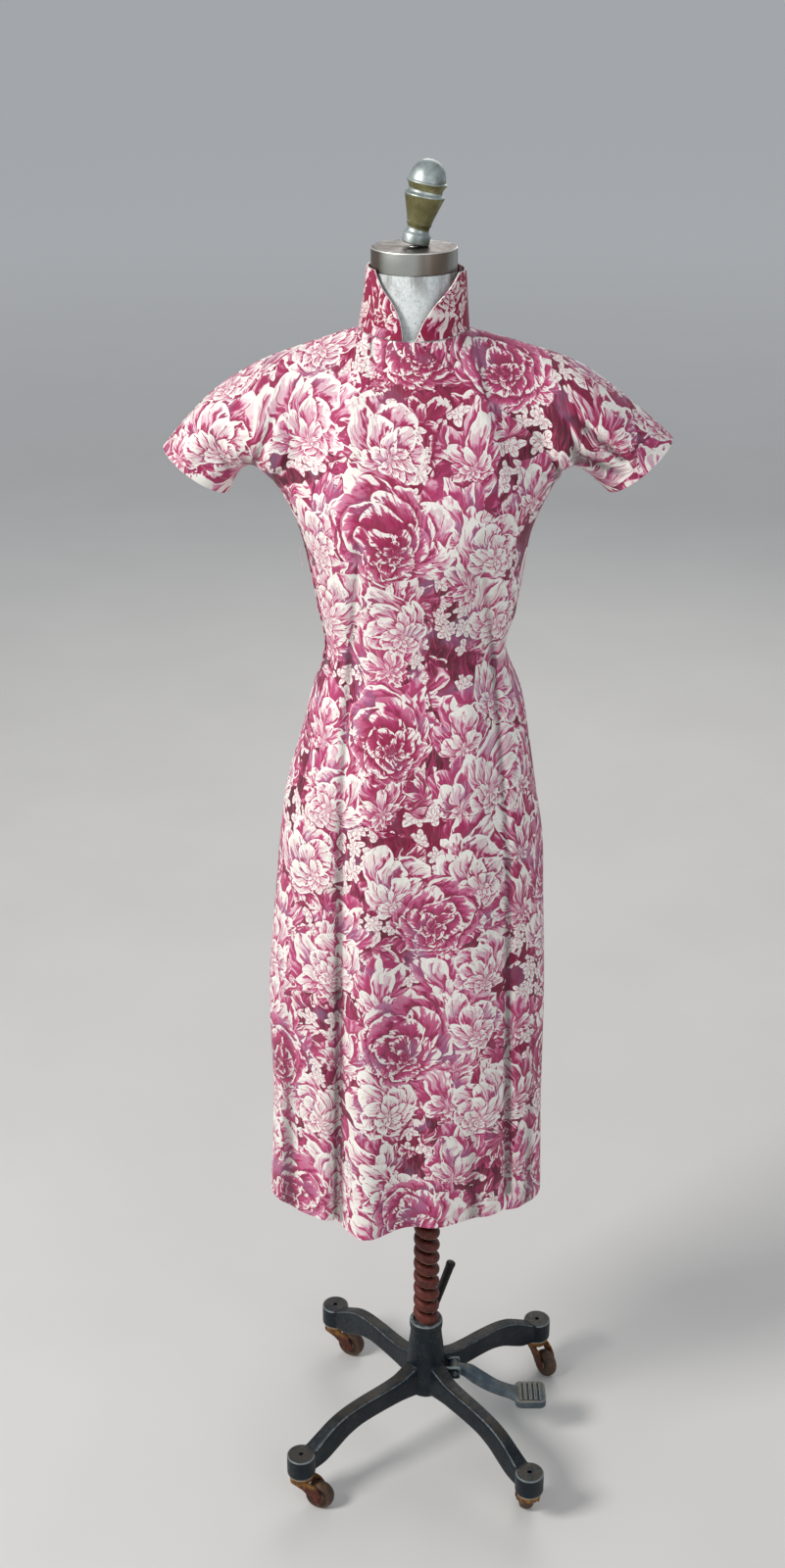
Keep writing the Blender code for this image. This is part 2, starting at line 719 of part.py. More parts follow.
def make_rod_and_spring(steel, rust):
    """The rod with its collar and top flange, and the coil spring that it stands in."""
    collar_top = ROD_COLLAR_Z + 0.014
    flange = FORM_BOTTOM - GAP
    rod = turned("stand_rod", [
        (0.0, flange), (0.032, flange), (0.032, flange - 0.005), (0.014, flange - 0.008),
        (0.012, flange - 0.030), (ROD_RADIUS, flange - 0.034), (ROD_RADIUS, collar_top),
        (0.015, collar_top), (0.0165, collar_top - 0.002), (0.0165, ROD_COLLAR_Z),
        (ROD_RADIUS, ROD_COLLAR_Z), (ROD_RADIUS, ROD_BOTTOM + 0.001), (ROD_RADIUS - 0.001, ROD_BOTTOM),
        (0.0, ROD_BOTTOM)], steel, 20)
    rod.location.x = POST_X
    smooth_mesh(rod.data)

    start = CUP_FLOOR + GAP + WIRE_RADIUS
    end = ROD_COLLAR_Z - GAP - WIRE_RADIUS
    per_turn = 10
    count = int((end - start) / SPRING_PITCH * per_turn)
    curve = bpy.data.curves.new("stand_spring", "CURVE")
    curve.dimensions = "3D"
    curve.bevel_depth = WIRE_RADIUS
    curve.bevel_resolution = 1
    curve.use_fill_caps = True
    spline = curve.splines.new("POLY")
    spline.points.add(count)
    for i, point in enumerate(spline.points):
        turn = 2 * pi * i / per_turn
        z = mix(start, end, i / count)
        point.co = (POST_X + SPRING_RADIUS * cos(turn), SPRING_RADIUS * sin(turn), z, 1.0)
    spring = bpy.data.objects.new("stand_spring", curve)
    PARTS.objects.link(spring)
    curve.materials.append(rust)


def place_on_leg(angle, radius):
    """A point at a distance from the post, along a leg."""
    turn = radians(angle)
    return Vector((POST_X + radius * cos(turn), radius * sin(turn), 0.0))


def make_casting(iron):
    """The hub with its spring cup, legs, bosses, pedal ears and lock boss, as one casting."""
    hub = turned("stand_casting", [
        (0.0, CUP_FLOOR), (CUP_RADIUS, CUP_FLOOR), (CUP_RADIUS, HUB_TOP), (0.0195, HUB_TOP),
        (0.0207, HUB_TOP - 0.0015), (0.0207, 0.170), (0.0192, 0.1685), (0.0200, 0.160),
        (0.0218, 0.145), (0.0235, 0.125), (0.0240, 0.085), (0.0220, 0.0725), (0.0, 0.0725)], iron, 24)
    hub.location.x = POST_X
    for name, angle in LEG_ANGLES.items():
        rings = []
        out = place_on_leg(angle, 1.0) - place_on_leg(angle, 0.0)
        cross = Vector((-out.y, out.x, 0.0))
        for radius, top, under, half in LEG:
            middle = place_on_leg(angle, radius)
            ease = half * 0.35
            section = [(-half + ease, under), (half - ease, under), (half, under + ease * 1.5),
                       (half, top - ease * 1.5), (half - ease, top), (-half + ease, top),
                       (-half, top - ease * 1.5), (-half, under + ease * 1.5)]
            rings.append([middle + cross * w + Vector((0, 0, z)) for w, z in section])
        boolean(hub, loft("leg_" + name, rings), "UNION")
        boss = turned("boss_" + name, [
            (0.0, BOSS_TOP), (BOSS_RADIUS - 0.002, BOSS_TOP), (BOSS_RADIUS, BOSS_TOP - 0.002),
            (BOSS_RADIUS, BOSS_BOTTOM + 0.001), (BOSS_RADIUS - 0.001, BOSS_BOTTOM),
            (0.0, BOSS_BOTTOM)], None, 16)
        boss.location = place_on_leg(angle, LEG_REACH)
        boolean(hub, boss, "UNION")
    x, y, z = PEDAL_PIVOT
    for name, side in (("front", -1), ("back", 1)):
        near, far = sorted((side * 0.0075, side * 0.0120))
        ear = box("ear_" + name, (POST_X + 0.018, near, z - 0.009), (x + 0.007, far, z + 0.009))
        boolean(hub, ear, "UNION")
    x, y, z = LOCK_PIVOT
    boolean(hub, cylinder("lock_boss", 0.0085, (x, 0.012, z), (x, 0.0260, z), 20), "UNION")
    x, y, z = PEDAL_PIVOT
    boolean(hub, cylinder("pedal_pin_hole", PEDAL_PIN + GAP, (x, -0.02, z), (x, 0.02, z), 16),
            "DIFFERENCE")
    boolean(hub, cylinder("rod_hole", ROD_RADIUS + GAP, (POST_X, 0, 0.06), (POST_X, 0, 0.20), 20),
            "DIFFERENCE")
    for name, angle in LEG_ANGLES.items():
        middle = place_on_leg(angle, LEG_REACH)
        up = Vector((0, 0, 1))
        stem_hole = cylinder("stem_hole_" + name, STEM_RADIUS + GAP, middle + up * 0.040,
                             middle + up * (BOSS_BOTTOM + 0.0153), 12)
        boolean(hub, stem_hole, "DIFFERENCE")
        dimple = cylinder("dimple_" + name, 0.0028, middle + up * (BOSS_TOP - 0.004),
                          middle + up * (BOSS_TOP + 0.01), 8)
        boolean(hub, dimple, "DIFFERENCE")


def fork_side(name, y):
    """One cheek of a caster, a flat outline that runs from the swivel plate round the axle."""
    outline = [(-0.011, 0.0400), (-0.009, 0.0350), (0.004, 0.0290), (0.0150, 0.0165)]
    for i in range(5):
        turn = radians(195 + i * 42)
        outline.append((TRAIL + 0.0068 * cos(turn), WHEEL_RADIUS + 0.0068 * sin(turn)))
    outline += [(0.0260, 0.0300), (0.0200, 0.0370), (0.0125, 0.0400)]
    curve = bpy.data.curves.new(name, "CURVE")
    curve.dimensions = "2D"
    curve.fill_mode = "BOTH"
    curve.extrude = FORK_PLATE / 2
    spline = curve.splines.new("POLY")
    spline.points.add(len(outline) - 1)
    for point, (across, z) in zip(spline.points, outline):
        point.co = (across, z, 0.0, 1.0)
    spline.use_cyclic_u = True
    obj = bpy.data.objects.new(name + "_curve", curve)
    PARTS.objects.link(obj)
    obj.rotation_euler.x = pi / 2
    obj.location.y = y
    mesh = baked_mesh(obj, name)
    bm = bmesh.new()
    bm.from_mesh(mesh)
    bmesh.ops.remove_doubles(bm, verts=bm.verts, dist=0.00001)
    bmesh.ops.recalc_face_normals(bm, faces=bm.faces)
    bm.to_mesh(mesh)
    bm.free()
    return add_object(name, mesh)


def make_casters(rust, wheel_mat):
    """Four forks and four wheels; each kind shares one mesh."""
    cheek = WHEEL_WIDTH / 2 + 0.0008 + FORK_PLATE / 2
    fork = turned("fork_shape", [
        (0.0, BOSS_BOTTOM + 0.0110), (STEM_RADIUS, BOSS_BOTTOM + 0.0110),
        (STEM_RADIUS, BOSS_BOTTOM - GAP), (0.0150, BOSS_BOTTOM - GAP), (0.0155, 0.0445),
        (0.0143, 0.0375), (0.0100, 0.0368), (0.0, 0.0368)], rust, 16)
    for name, side in (("cheek_a", -1), ("cheek_b", 1)):
        boolean(fork, fork_side(name, side * cheek), "UNION")
    half = cheek + FORK_PLATE / 2 + 0.0012
    axle = cylinder("axle", AXLE_RADIUS, (TRAIL, -half, WHEEL_RADIUS), (TRAIL, half, WHEEL_RADIUS), 10)
    boolean(fork, axle, "UNION")
    fork_mesh = baked_mesh(fork, "caster_fork")
    smooth_mesh(fork_mesh)

    bore = AXLE_RADIUS + GAP
    outer = WHEEL_RADIUS / cos(pi / WHEEL_SIDES)
    rim, tread, edge, dish = WHEEL_WIDTH / 2, 0.0045, outer - 0.0030, 0.0125
    wheel = turned("wheel_shape", [
        (bore, rim), (dish, rim - 0.0015), (edge, rim), (outer, tread), (outer, -tread),
        (edge, -rim), (dish, 0.0015 - rim), (bore, -rim)], wheel_mat, WHEEL_SIDES, ring=True)
    wheel_mesh = baked_mesh(wheel, "caster_wheel")
    smooth_mesh(wheel_mesh)

    for name, angle in TRAIL_ANGLES.items():
        post = place_on_leg(LEG_ANGLES[name], LEG_REACH)
        trail = Vector((cos(radians(angle)), sin(radians(angle)), 0.0))
        fork = add_object("caster_fork_" + name, fork_mesh)
        fork.location = post
        fork.rotation_euler.z = radians(angle)
        wheel = add_object("caster_wheel_" + name, wheel_mesh)
        spin = Matrix.Rotation(pi / WHEEL_SIDES, 4, "Z")
        lay = Matrix.Rotation(pi / 2, 4, "X")
        turn = Matrix.Rotation(radians(angle), 4, "Z")
        centre = post + trail * TRAIL + Vector((0, 0, WHEEL_RADIUS))
        wheel.matrix_world = Matrix.Translation(centre) @ turn @ lay @ spin


def make_pedal(iron):
    """The foot pedal: a barrel and pin in the hub's ears, a curved arm and a ribbed tread."""
    x, y, z = PEDAL_PIVOT
    pedal = cylinder("stand_pedal", 0.0078, (x, -0.0070, z), (x, 0.0070, z), 20, iron)
    pin = cylinder("pedal_pin", PEDAL_PIN, (x, -0.0138, z), (x, 0.0138, z), 12)
    boolean(pedal, pin, "UNION")
    rings = []
    for reach, height, half, thick in PEDAL_ARM:
        ease = 0.4
        corners = [(-1 + ease, -1), (1 - ease, -1), (1, ease - 1), (1, 1 - ease),
                   (1 - ease, 1), (-1 + ease, 1), (-1, 1 - ease), (-1, ease - 1)]
        rings.append([(x + reach, side * half, height + rise * thick) for side, rise in corners])
    boolean(pedal, loft("pedal_arm", rings), "UNION")
    low, high = Vector((x + 0.0785, -0.0200, 0.0520)), Vector((x + 0.1180, 0.0200, 0.0630))
    boolean(pedal, box("pedal_plate", low, high), "UNION")
    for i in range(PEDAL_RIBS):
        start = mix(low.x + 0.0030, high.x - 0.0068, i / (PEDAL_RIBS - 1))
        rib = box("pedal_rib_%d" % i, (start, -0.0175, 0.0620), (start + 0.0038, 0.0175, 0.0665))
        boolean(pedal, rib, "UNION")


def make_lock_bar(iron):
    """The black bar that clamps the rod, on a short barrel behind the hub."""
    x, y, z = LOCK_PIVOT
    bar_y = 0.0325
    lock = cylinder("stand_lock_bar", 0.0072, (x, 0.0263, z), (x, 0.0385, z), 20, iron)
    tip = (x + LOCK_LENGTH * sin(LOCK_LEAN), bar_y, z + LOCK_LENGTH * cos(LOCK_LEAN))
    boolean(lock, cylinder("lock_rod", 0.0043, (x, bar_y, z), tip, 14), "UNION")


def main():
    """Make every part."""
    clear_scene()
    cloth = make_material("printed_cotton", (0.62, 0.25, 0.40), 0.62)
    linen = make_material("grey_linen", (0.62, 0.63, 0.61), 0.85)
    steel = make_material("brushed_steel", (0.55, 0.54, 0.50), 0.35, 1.0)
    silver = make_material("silver_paint", (0.50, 0.50, 0.44), 0.45, 0.6)
    iron = make_material("blackened_iron", (0.03, 0.045, 0.05), 0.45, 0.3)
    rust = make_material("rusty_steel", (0.22, 0.08, 0.04), 0.7, 0.4)
    wheel_mat = make_material("dark_wheel", (0.05, 0.04, 0.04), 0.6)
    make_dress(cloth)
    make_collar(cloth)
    make_side_placket(cloth)
    make_form(linen)
    make_cap_and_finial(steel, silver)
    make_rod_and_spring(steel, rust)
    make_casting(iron)
    make_casters(rust, wheel_mat)
    make_pedal(iron)
    make_lock_bar(iron)


main()
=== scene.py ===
# %% [markdown]
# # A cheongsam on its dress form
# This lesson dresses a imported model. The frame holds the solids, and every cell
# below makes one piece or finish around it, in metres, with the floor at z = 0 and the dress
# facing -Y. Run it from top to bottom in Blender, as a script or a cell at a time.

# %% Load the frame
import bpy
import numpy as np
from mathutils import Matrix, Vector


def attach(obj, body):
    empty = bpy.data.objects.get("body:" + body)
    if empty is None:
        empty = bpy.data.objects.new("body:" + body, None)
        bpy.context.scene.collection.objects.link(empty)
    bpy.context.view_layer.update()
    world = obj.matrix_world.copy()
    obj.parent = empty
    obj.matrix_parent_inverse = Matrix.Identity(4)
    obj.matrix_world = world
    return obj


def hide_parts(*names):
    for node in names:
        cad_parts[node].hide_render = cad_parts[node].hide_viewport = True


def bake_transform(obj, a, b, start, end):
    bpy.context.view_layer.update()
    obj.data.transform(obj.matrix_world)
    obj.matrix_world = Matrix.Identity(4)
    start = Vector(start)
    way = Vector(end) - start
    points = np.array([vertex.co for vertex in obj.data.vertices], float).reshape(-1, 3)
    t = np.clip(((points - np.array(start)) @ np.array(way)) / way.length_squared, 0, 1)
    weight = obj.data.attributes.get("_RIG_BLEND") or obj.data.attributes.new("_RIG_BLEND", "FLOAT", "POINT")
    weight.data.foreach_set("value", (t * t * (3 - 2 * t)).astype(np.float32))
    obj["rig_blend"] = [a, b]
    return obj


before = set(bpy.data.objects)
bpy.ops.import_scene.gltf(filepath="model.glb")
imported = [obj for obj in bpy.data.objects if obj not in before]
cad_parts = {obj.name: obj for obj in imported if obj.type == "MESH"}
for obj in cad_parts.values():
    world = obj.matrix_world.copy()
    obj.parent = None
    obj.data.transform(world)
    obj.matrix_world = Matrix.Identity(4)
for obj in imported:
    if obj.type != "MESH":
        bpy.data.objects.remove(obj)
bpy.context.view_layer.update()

# %% [markdown]
# ## Tools for the work
# Cloth surfaces here are worked out from short tables, so a few helpers come first: a soft step,
# a straight mix, and a smooth curve through the rows of a table.

# %% Small maths
from bisect import bisect_right
from functools import lru_cache
from math import cos, exp, hypot, pi, radians, sin

import bmesh
import bpy
from mathutils import Matrix, Vector, noise

FRONT, BACK = -1, 1


def smoothstep(low, high, value):
    """0 below low, 1 above high, and a soft rise between."""
    t = min(max((value - low) / (high - low), 0.0), 1.0)
    return t * t * (3 - 2 * t)


def mix(a, b, t):
    """The value at share t between a and b."""
    return a + (b - a) * t


def smooth_row(table, key):
    """The other columns of a table at a key between its rows, on a smooth curve."""
    keys = [row[0] for row in table]
    last = len(keys) - 1
    i = min(max(bisect_right(keys, key) - 1, 0), last - 1)
    span = keys[i + 1] - keys[i]
    t = min(max((key - keys[i]) / span, 0.0), 1.0)

    def slope(j, column):
        a, b = max(j - 1, 0), min(j + 1, last)
        return (table[b][column] - table[a][column]) / (keys[b] - keys[a]) * span

    values = []
    for column in range(1, len(table[0])):
        a, b = table[i][column], table[i + 1][column]
        rise, fall = slope(i, column), slope(i + 1, column)
        values.append((2 * t**3 - 3 * t**2 + 1) * a + (t**3 - 2 * t**2 + t) * rise
                      + (3 * t**2 - 2 * t**3) * b + (t**3 - t**2) * fall)
    return values


# %% [markdown]
# ## Node trees without the clutter
# Shader trees and geometry trees are both built in code. A thin wrapper keeps each line to one
# idea: add a node, feed its sockets with a number or another node's output, hand back an output.

# %% A helper that writes node trees
class Tree:
    """Adds nodes to a tree, and feeds each socket with a value or with another node's output."""

    def __init__(self, tree):
        self.tree = tree
        self.shader = None

    def node(self, kind, inputs=None, **settings):
        made = self.tree.nodes.new(kind)
        for name, value in settings.items():
            setattr(made, name, value)
        for name, value in (inputs or {}).items():
            self.feed(made.inputs[name], value)
        return made

    def feed(self, socket, value):
        if isinstance(value, bpy.types.NodeSocket):
            self.tree.links.new(value, socket)
        elif value is not None:
            socket.default_value = value

    def shade(self, socket, value):
        self.feed(self.shader.inputs[socket], value)

    def math(self, operation, a, b=None, c=None):
        return self.node("ShaderNodeMath", {0: a, 1: b, 2: c}, operation=operation).outputs[0]

    def times(self, a, b):
        return self.math("MULTIPLY", a, b)

    def plus(self, a, b):
        return self.math("ADD", a, b)

    def minus(self, a, b):
        return self.math("SUBTRACT", a, b)

    def vector(self, operation, a, b=None, output=0):
        return self.node("ShaderNodeVectorMath", {0: a, 1: b}, operation=operation).outputs[output]

    def scaled(self, vector, factor):
        return self.node("ShaderNodeVectorMath", {0: vector, 3: factor}, operation="SCALE").outputs[0]

    def sweep(self, path, ring):
        inputs = {"Curve": path, "Profile Curve": ring, "Fill Caps": True}
        return self.node("GeometryNodeCurveToMesh", inputs).outputs[0]

    def real(self, geometry, finish):
        real = self.node("GeometryNodeRealizeInstances", {0: geometry}).outputs[0]
        return self.node("GeometryNodeSetMaterial", {"Geometry": real, "Material": finish}).outputs[0]

    def place(self):
        return self.node("ShaderNodeTexCoord").outputs["Object"]

    def facing(self):
        return self.node("ShaderNodeNewGeometry").outputs["Normal"]

    def combine(self, x, y, z=0.0):
        return self.node("ShaderNodeCombineXYZ", {0: x, 1: y, 2: z}).outputs[0]

    def split(self, vector):
        return self.node("ShaderNodeSeparateXYZ", {0: vector}).outputs

    def between(self, value, low, high, start=0.0, end=1.0, curve="SMOOTHSTEP"):
        made = self.node("ShaderNodeMapRange", {0: value, 1: low, 2: high, 3: start, 4: end},
                         interpolation_type=curve)
        return made.outputs[0]

    def blend(self, share, a, b):
        return self.node("ShaderNodeMix", {0: share, 2: a, 3: b}, data_type="FLOAT").outputs[0]

    def colour(self, share, a, b):
        return self.node("ShaderNodeMix", {0: share, 6: a, 7: b}, data_type="RGBA").outputs[2]

    def noise(self, vector, scale, detail=2.0, roughness=0.5, flat=False, output=0):
        inputs = {"Vector": vector, "Scale": scale, "Detail": detail, "Roughness": roughness}
        made = self.node("ShaderNodeTexNoise", inputs, noise_dimensions="2D" if flat else "3D")
        return made.outputs[output]

    def ramp(self, value, stops):
        made = self.node("ShaderNodeValToRGB", {0: value})
        elements = made.color_ramp.elements
        while len(elements) < len(stops):
            elements.new(0.5)
        for element, (place, rgb) in zip(elements, stops):
            element.position = place
            element.color = (*rgb, 1.0)
        return made.outputs[0]

    def bump(self, height, strength, distance, normal=None):
        inputs = {"Height": height, "Strength": strength, "Distance": distance, "Normal": normal}
        return self.node("ShaderNodeBump", inputs).outputs[0]


def new_finish(name, **constants):
    """A material with a Principled shader whose constant sockets are set by name."""
    mat = bpy.data.materials.new(name)
    mat.use_nodes = True
    tree = Tree(mat.node_tree)
    shader = mat.node_tree.nodes["Principled BSDF"]
    for socket, value in constants.items():
        shader.inputs[socket.replace("_", " ").title().replace("Ior", "IOR")].default_value = value
    tree.shader = shader
    return mat, tree


def rgb(red, green, blue):
    """A colour given as it shows on screen, from 0 to 255, turned into linear light."""
    def linear(value):
        value /= 255
        return value / 12.92 if value <= 0.04045 else ((value + 0.055) / 1.055) ** 2.4
    return linear(red), linear(green), linear(blue)


# %% [markdown]
# ## Camera, floor and light
# The photograph looks down a little from about two metres away, so the hem curves towards the
# viewer and the stand's feet spread. The lens and tilt are the ones that put the four bosses and
# the neck cap where the photograph has them. The floor grows paler with distance, so that it
# meets the sky without a hard line. Soft daylight is a pale sky with three large lamps.

# %% Camera
CAMERA_PLACE = (-0.0267, -2.05, 1.85)
CAMERA_TILT = radians(24.3)
FOCAL_PIXELS = 2056
PHOTO_HEIGHT = 1600
SENSOR = 36.0

scene = bpy.context.scene
for name in ("Camera", "Light", "Cube"):
    if name in bpy.data.objects:
        bpy.data.objects.remove(bpy.data.objects[name], do_unlink=True)


def linked(name, data):
    """An object of its own for some data, linked to the scene."""
    obj = bpy.data.objects.new(name, data)
    scene.collection.objects.link(obj)
    return obj


camera = linked("camera", bpy.data.cameras.new("camera"))
camera.data.sensor_width = SENSOR
camera.data.lens = FOCAL_PIXELS * SENSOR / PHOTO_HEIGHT
camera.location = CAMERA_PLACE
camera.rotation_euler = (pi / 2 - CAMERA_TILT, 0.0, 0.0)
camera.data.clip_end = 120.0
scene.camera = camera
print("lens:", round(camera.data.lens, 2), "mm")

# %% Floor and light
FLOOR_SIZE = 90.0
FADE_MIDDLE = (0.0, -4.0, 0.0)
FADE_RANGE = (2.0, 10.0)

bpy.ops.mesh.primitive_plane_add(size=FLOOR_SIZE, location=(0.0, 4.0, 0.0))
floor = bpy.context.object
floor.name = "floor"
plain, tree = new_finish("pale_floor", roughness=0.9)
speck = tree.noise(tree.place(), 3.0, 3.0)
near = tree.ramp(speck, [(0.3, (0.63, 0.62, 0.60)), (0.7, (0.66, 0.65, 0.63))])
far = (0.96, 0.96, 0.95, 1.0)
distance = tree.vector("LENGTH", tree.vector("SUBTRACT", tree.place(), FADE_MIDDLE), output=1)
tree.shade("Base Color", tree.colour(tree.between(distance, *FADE_RANGE), near, far))
floor.data.materials.append(plain)


def add_lamp(name, place, target, size, power, colour=(1.0, 1.0, 1.0)):
    """A square soft lamp that looks at a target."""
    lamp = bpy.data.lights.new(name, "AREA")
    lamp.size = size
    lamp.energy = power
    lamp.color = colour
    obj = linked(name, lamp)
    obj.location = place
    obj.rotation_euler = (Vector(target) - Vector(place)).to_track_quat("-Z", "Y").to_euler()


world = scene.world or bpy.data.worlds.new("sky")
scene.world = world
world.use_nodes = True
sky = world.node_tree.nodes["Background"]
sky.inputs["Color"].default_value = (0.90, 0.94, 1.0, 1.0)
sky.inputs["Strength"].default_value = 0.42
add_lamp("key", (-2.7, -1.5, 2.9), (0.0, 0.0, 1.1), 1.1, 112, (1.0, 0.98, 0.95))
add_lamp("fill", (1.6, -2.8, 2.0), (0.0, 0.0, 0.9), 2.2, 22, (0.95, 0.97, 1.0))
add_lamp("back", (0.6, 2.8, 2.6), (0.0, 0.0, 1.0), 2.0, 30, (1.0, 0.97, 0.93))
scene.view_settings.view_transform = "Standard"

# %% [markdown]
# ## The floral print
# The cloth is a crowded garden print: cream peonies, big rose-pink roses, small stars, on a
# plum ground. Painting it as an image would fix its size and fill a file. Here it grows from
# arithmetic, on the cloth's own UV map in metres. A Voronoi texture scatters flower centres. Round
# each centre, rings with scalloped edges stand for petals: even and odd rings have their scallops
# half a petal apart, so each ring peeps out between the petals of the one inside it.

# %% One flower head, as a node group
FLOWER_SHAPE = ("Spacing", "Scatter", "Radius", "Rings", "Petals", "Point", "Scallop", "Lean",
                "Swing", "Curl")
FLOWER_TONES = ("Body", "Tip", "Tip Reach", "Tip Show", "Base", "Base Reach", "Share", "Blush", "Glow")


def new_group(name, kind, inputs, outputs):
    """A node group, its tree and end nodes; an input is given by its value or, with none, its kind."""
    group = bpy.data.node_groups.new(name, kind)
    for socket, value in inputs.items():
        form = value if isinstance(value, str) else {float: "Float", int: "Int"}[type(value)]
        made = group.interface.new_socket(socket, in_out="INPUT", socket_type="NodeSocket" + form)
        if form != value:
            made.default_value = value
    for socket, form in outputs.items():
        group.interface.new_socket(socket, in_out="OUTPUT", socket_type="NodeSocket" + form)
    tree = Tree(group)
    return group, tree, tree.node("NodeGroupInput").outputs, tree.node("NodeGroupOutput").inputs


def flower_group():
    """Tone (0 dark to 1 cream) and cover of scattered flower heads at a place on the cloth."""
    sockets = {"Place": "Vector"}
    sockets.update({name: 0.0 for name in FLOWER_SHAPE + FLOWER_TONES})
    group, t, given, out = new_group("flower_heads", "ShaderNodeTree", sockets,
                                     {"Tone": "Float", "Cover": "Float"})
    grid = t.scaled(given["Place"], t.math("DIVIDE", 1.0, given["Spacing"]))
    cells = t.node("ShaderNodeTexVoronoi", {"Vector": grid, "Scale": 1.0, "Randomness": given["Scatter"]},
                   voronoi_dimensions="2D", feature="F1")
    chance = t.node("ShaderNodeSeparateColor", {0: cells.outputs["Color"]}).outputs
    swing = t.times(t.minus(chance[0], 0.5), given["Swing"])
    local = t.node("ShaderNodeVectorRotate", {"Vector": t.vector("SUBTRACT", grid, cells.outputs["Position"]),
                                              "Angle": swing}, rotation_type="Z_AXIS").outputs[0]
    local = t.split(t.scaled(local, given["Spacing"]))

    size = t.times(given["Radius"], t.between(chance[1], 0, 1, 0.84, 1.12, "LINEAR"))
    squash = t.minus(1.0, t.times(given["Lean"], given["Lean"]))
    shift = t.math("DIVIDE", t.times(size, given["Lean"]), squash)
    up = t.plus(local[1], shift)
    reach = t.math("SQRT", t.plus(t.times(local[0], local[0]), t.times(up, up)))
    angle = t.math("ARCTAN2", local[0], up)
    lean = t.minus(1.0, t.times(t.math("COSINE", angle), given["Lean"]))
    share = t.math("DIVIDE", t.times(reach, lean), size)
    steps = t.times(t.math("POWER", share, 0.85), given["Rings"])
    curl = t.times(t.times(given["Curl"], share), t.between(chance[2], 0.49, 0.51, -1.0, 1.0))
    turn = t.plus(angle, curl)
    count = t.math("ROUND", t.times(given["Petals"], t.between(chance[2], 0, 1, 0.85, 1.2, "LINEAR")))
    half = t.times(t.times(turn, count), 0.5)
    shapes, since = [], []
    for i, wave in enumerate(("COSINE", "SINE")):
        shape = t.math("POWER", t.math("ABSOLUTE", t.math(wave, half)), given["Point"])
        edge = t.times(given["Scallop"], t.minus(shape, 0.5))
        shapes.append((shape, edge))
        since.append(t.math("FLOORED_MODULO", t.minus(t.plus(steps, float(i)), edge), 2.0))
    inner = t.math("MINIMUM", since[0], since[1])
    outer = t.minus(2.0, t.math("MAXIMUM", since[0], since[1]))
    even = t.math("GREATER_THAN", since[0], since[1])
    across = t.blend(even, shapes[1][0], shapes[0][0])

    brush = t.combine(turn, t.math("MULTIPLY_ADD", chance[0], 37.0, t.times(steps, 0.16)))
    streak = t.between(t.noise(brush, 9.0, 2.0, 0.62, flat=True), 0.32, 0.68, -0.5, 0.5, "LINEAR")
    patch = t.noise(t.combine(turn, t.math("MULTIPLY_ADD", chance[1], 23.0, steps)), 1.6, 1.0, flat=True)
    core = t.between(steps, 0.5, 1.4)
    tip = t.minus(t.minus(given["Tip Reach"], outer), t.times(streak, 0.9))
    tip = t.times(t.between(tip, -0.10, 0.22),
                 t.between(t.minus(given["Tip Show"], patch), -0.06, 0.04))
    base = t.minus(t.plus(given["Base Reach"], t.times(streak, 1.0)), inner)
    line = t.times(t.between(across, 0.34, 0.04, 0.0, 0.8), core)
    base = t.math("MAXIMUM", t.between(base, -0.25, 0.65), line)
    body = t.minus(given["Body"], t.times(t.math("FRACT", t.times(chance[0], 5.7)),
                                                    given["Blush"]))
    body = t.plus(body, t.times(t.minus(share, 0.55), given["Glow"]))
    tone = t.blend(base, body, given["Base"])
    tone = t.blend(t.times(tip, t.between(core, 0, 1, 0.35, 1.0)), tone, given["Tip"])
    t.feed(out["Tone"], t.math("MULTIPLY_ADD", streak, 0.10, tone))

    rim = t.minus(t.plus(given["Rings"], shapes[0][1]), steps)
    shown = t.math("LESS_THAN", t.math("FRACT", t.times(chance[1], 7.31)), given["Share"])
    t.feed(out["Cover"], t.times(t.between(rim, 0.0, 0.10), shown))
    print("flower group:", len(group.nodes), "nodes")
    return group


flowers = flower_group()

# %% [markdown]
# Five scatterings lie over each other, from the smallest flowers up to the roses. Each gives a
# tone, so the layers mix as plain numbers and one ramp at the end turns tone into dye. A little
# noise bends the place before all of it, as a hand that paints petals would.

# %% The layers of the print
PRINT_LAYERS = [  # name, shift of the layout, a number for each name of the shape, and of the tones
    ("leaves", (0.013, 0.047), (0.050, 0.7, 0.024, 3, 6, 1.3, 1.3, 0.60, 4.0, 0.5),
     (0.66, 0.92, 0.42, 1.0, 0.24, 0.75, 0.9, 0.25, 0.0)),
    ("stars", (0.004, 0.009), (0.0215, 0.55, 0.0099, 2, 5, 1.0, 1.1, 0.0, 6.0, 0.0),
     (0.95, 1.0, 0.4, 1.0, 0.25, 0.35, 0.9, 0.0, 0.0)),
    ("buds", (0.051, 0.024), (0.080, 0.6, 0.025, 3, 6, 0.9, 1.3, 0.66, 1.4, 0.2),
     (0.84, 0.98, 0.45, 1.0, 0.34, 0.75, 0.85, 0.2, 0.0)),
    ("peonies", (0.036, 0.071), (0.100, 0.45, 0.032, 4, 6, 0.7, 1.1, 0.50, 1.4, 0.7),
     (0.90, 1.0, 0.45, 1.0, 0.32, 0.55, 0.80, 0.18, 0.0)),
    ("roses", (0.035, 0.032), (0.205, 0.35, 0.046, 5, 5, 0.6, 0.8, 0.40, 1.0, 0.8),
     (0.46, 0.97, 0.38, 0.57, 0.22, 0.45, 0.95, 0.06, 0.32)),
]
DYES = [
    (0.00, rgb(74, 12, 34)), (0.14, rgb(110, 30, 56)), (0.28, rgb(144, 42, 80)), (0.42, rgb(184, 62, 112)),
    (0.60, rgb(210, 132, 162)), (0.76, rgb(222, 188, 198)), (0.90, rgb(234, 226, 218)),
    (1.00, rgb(244, 244, 236)),
]


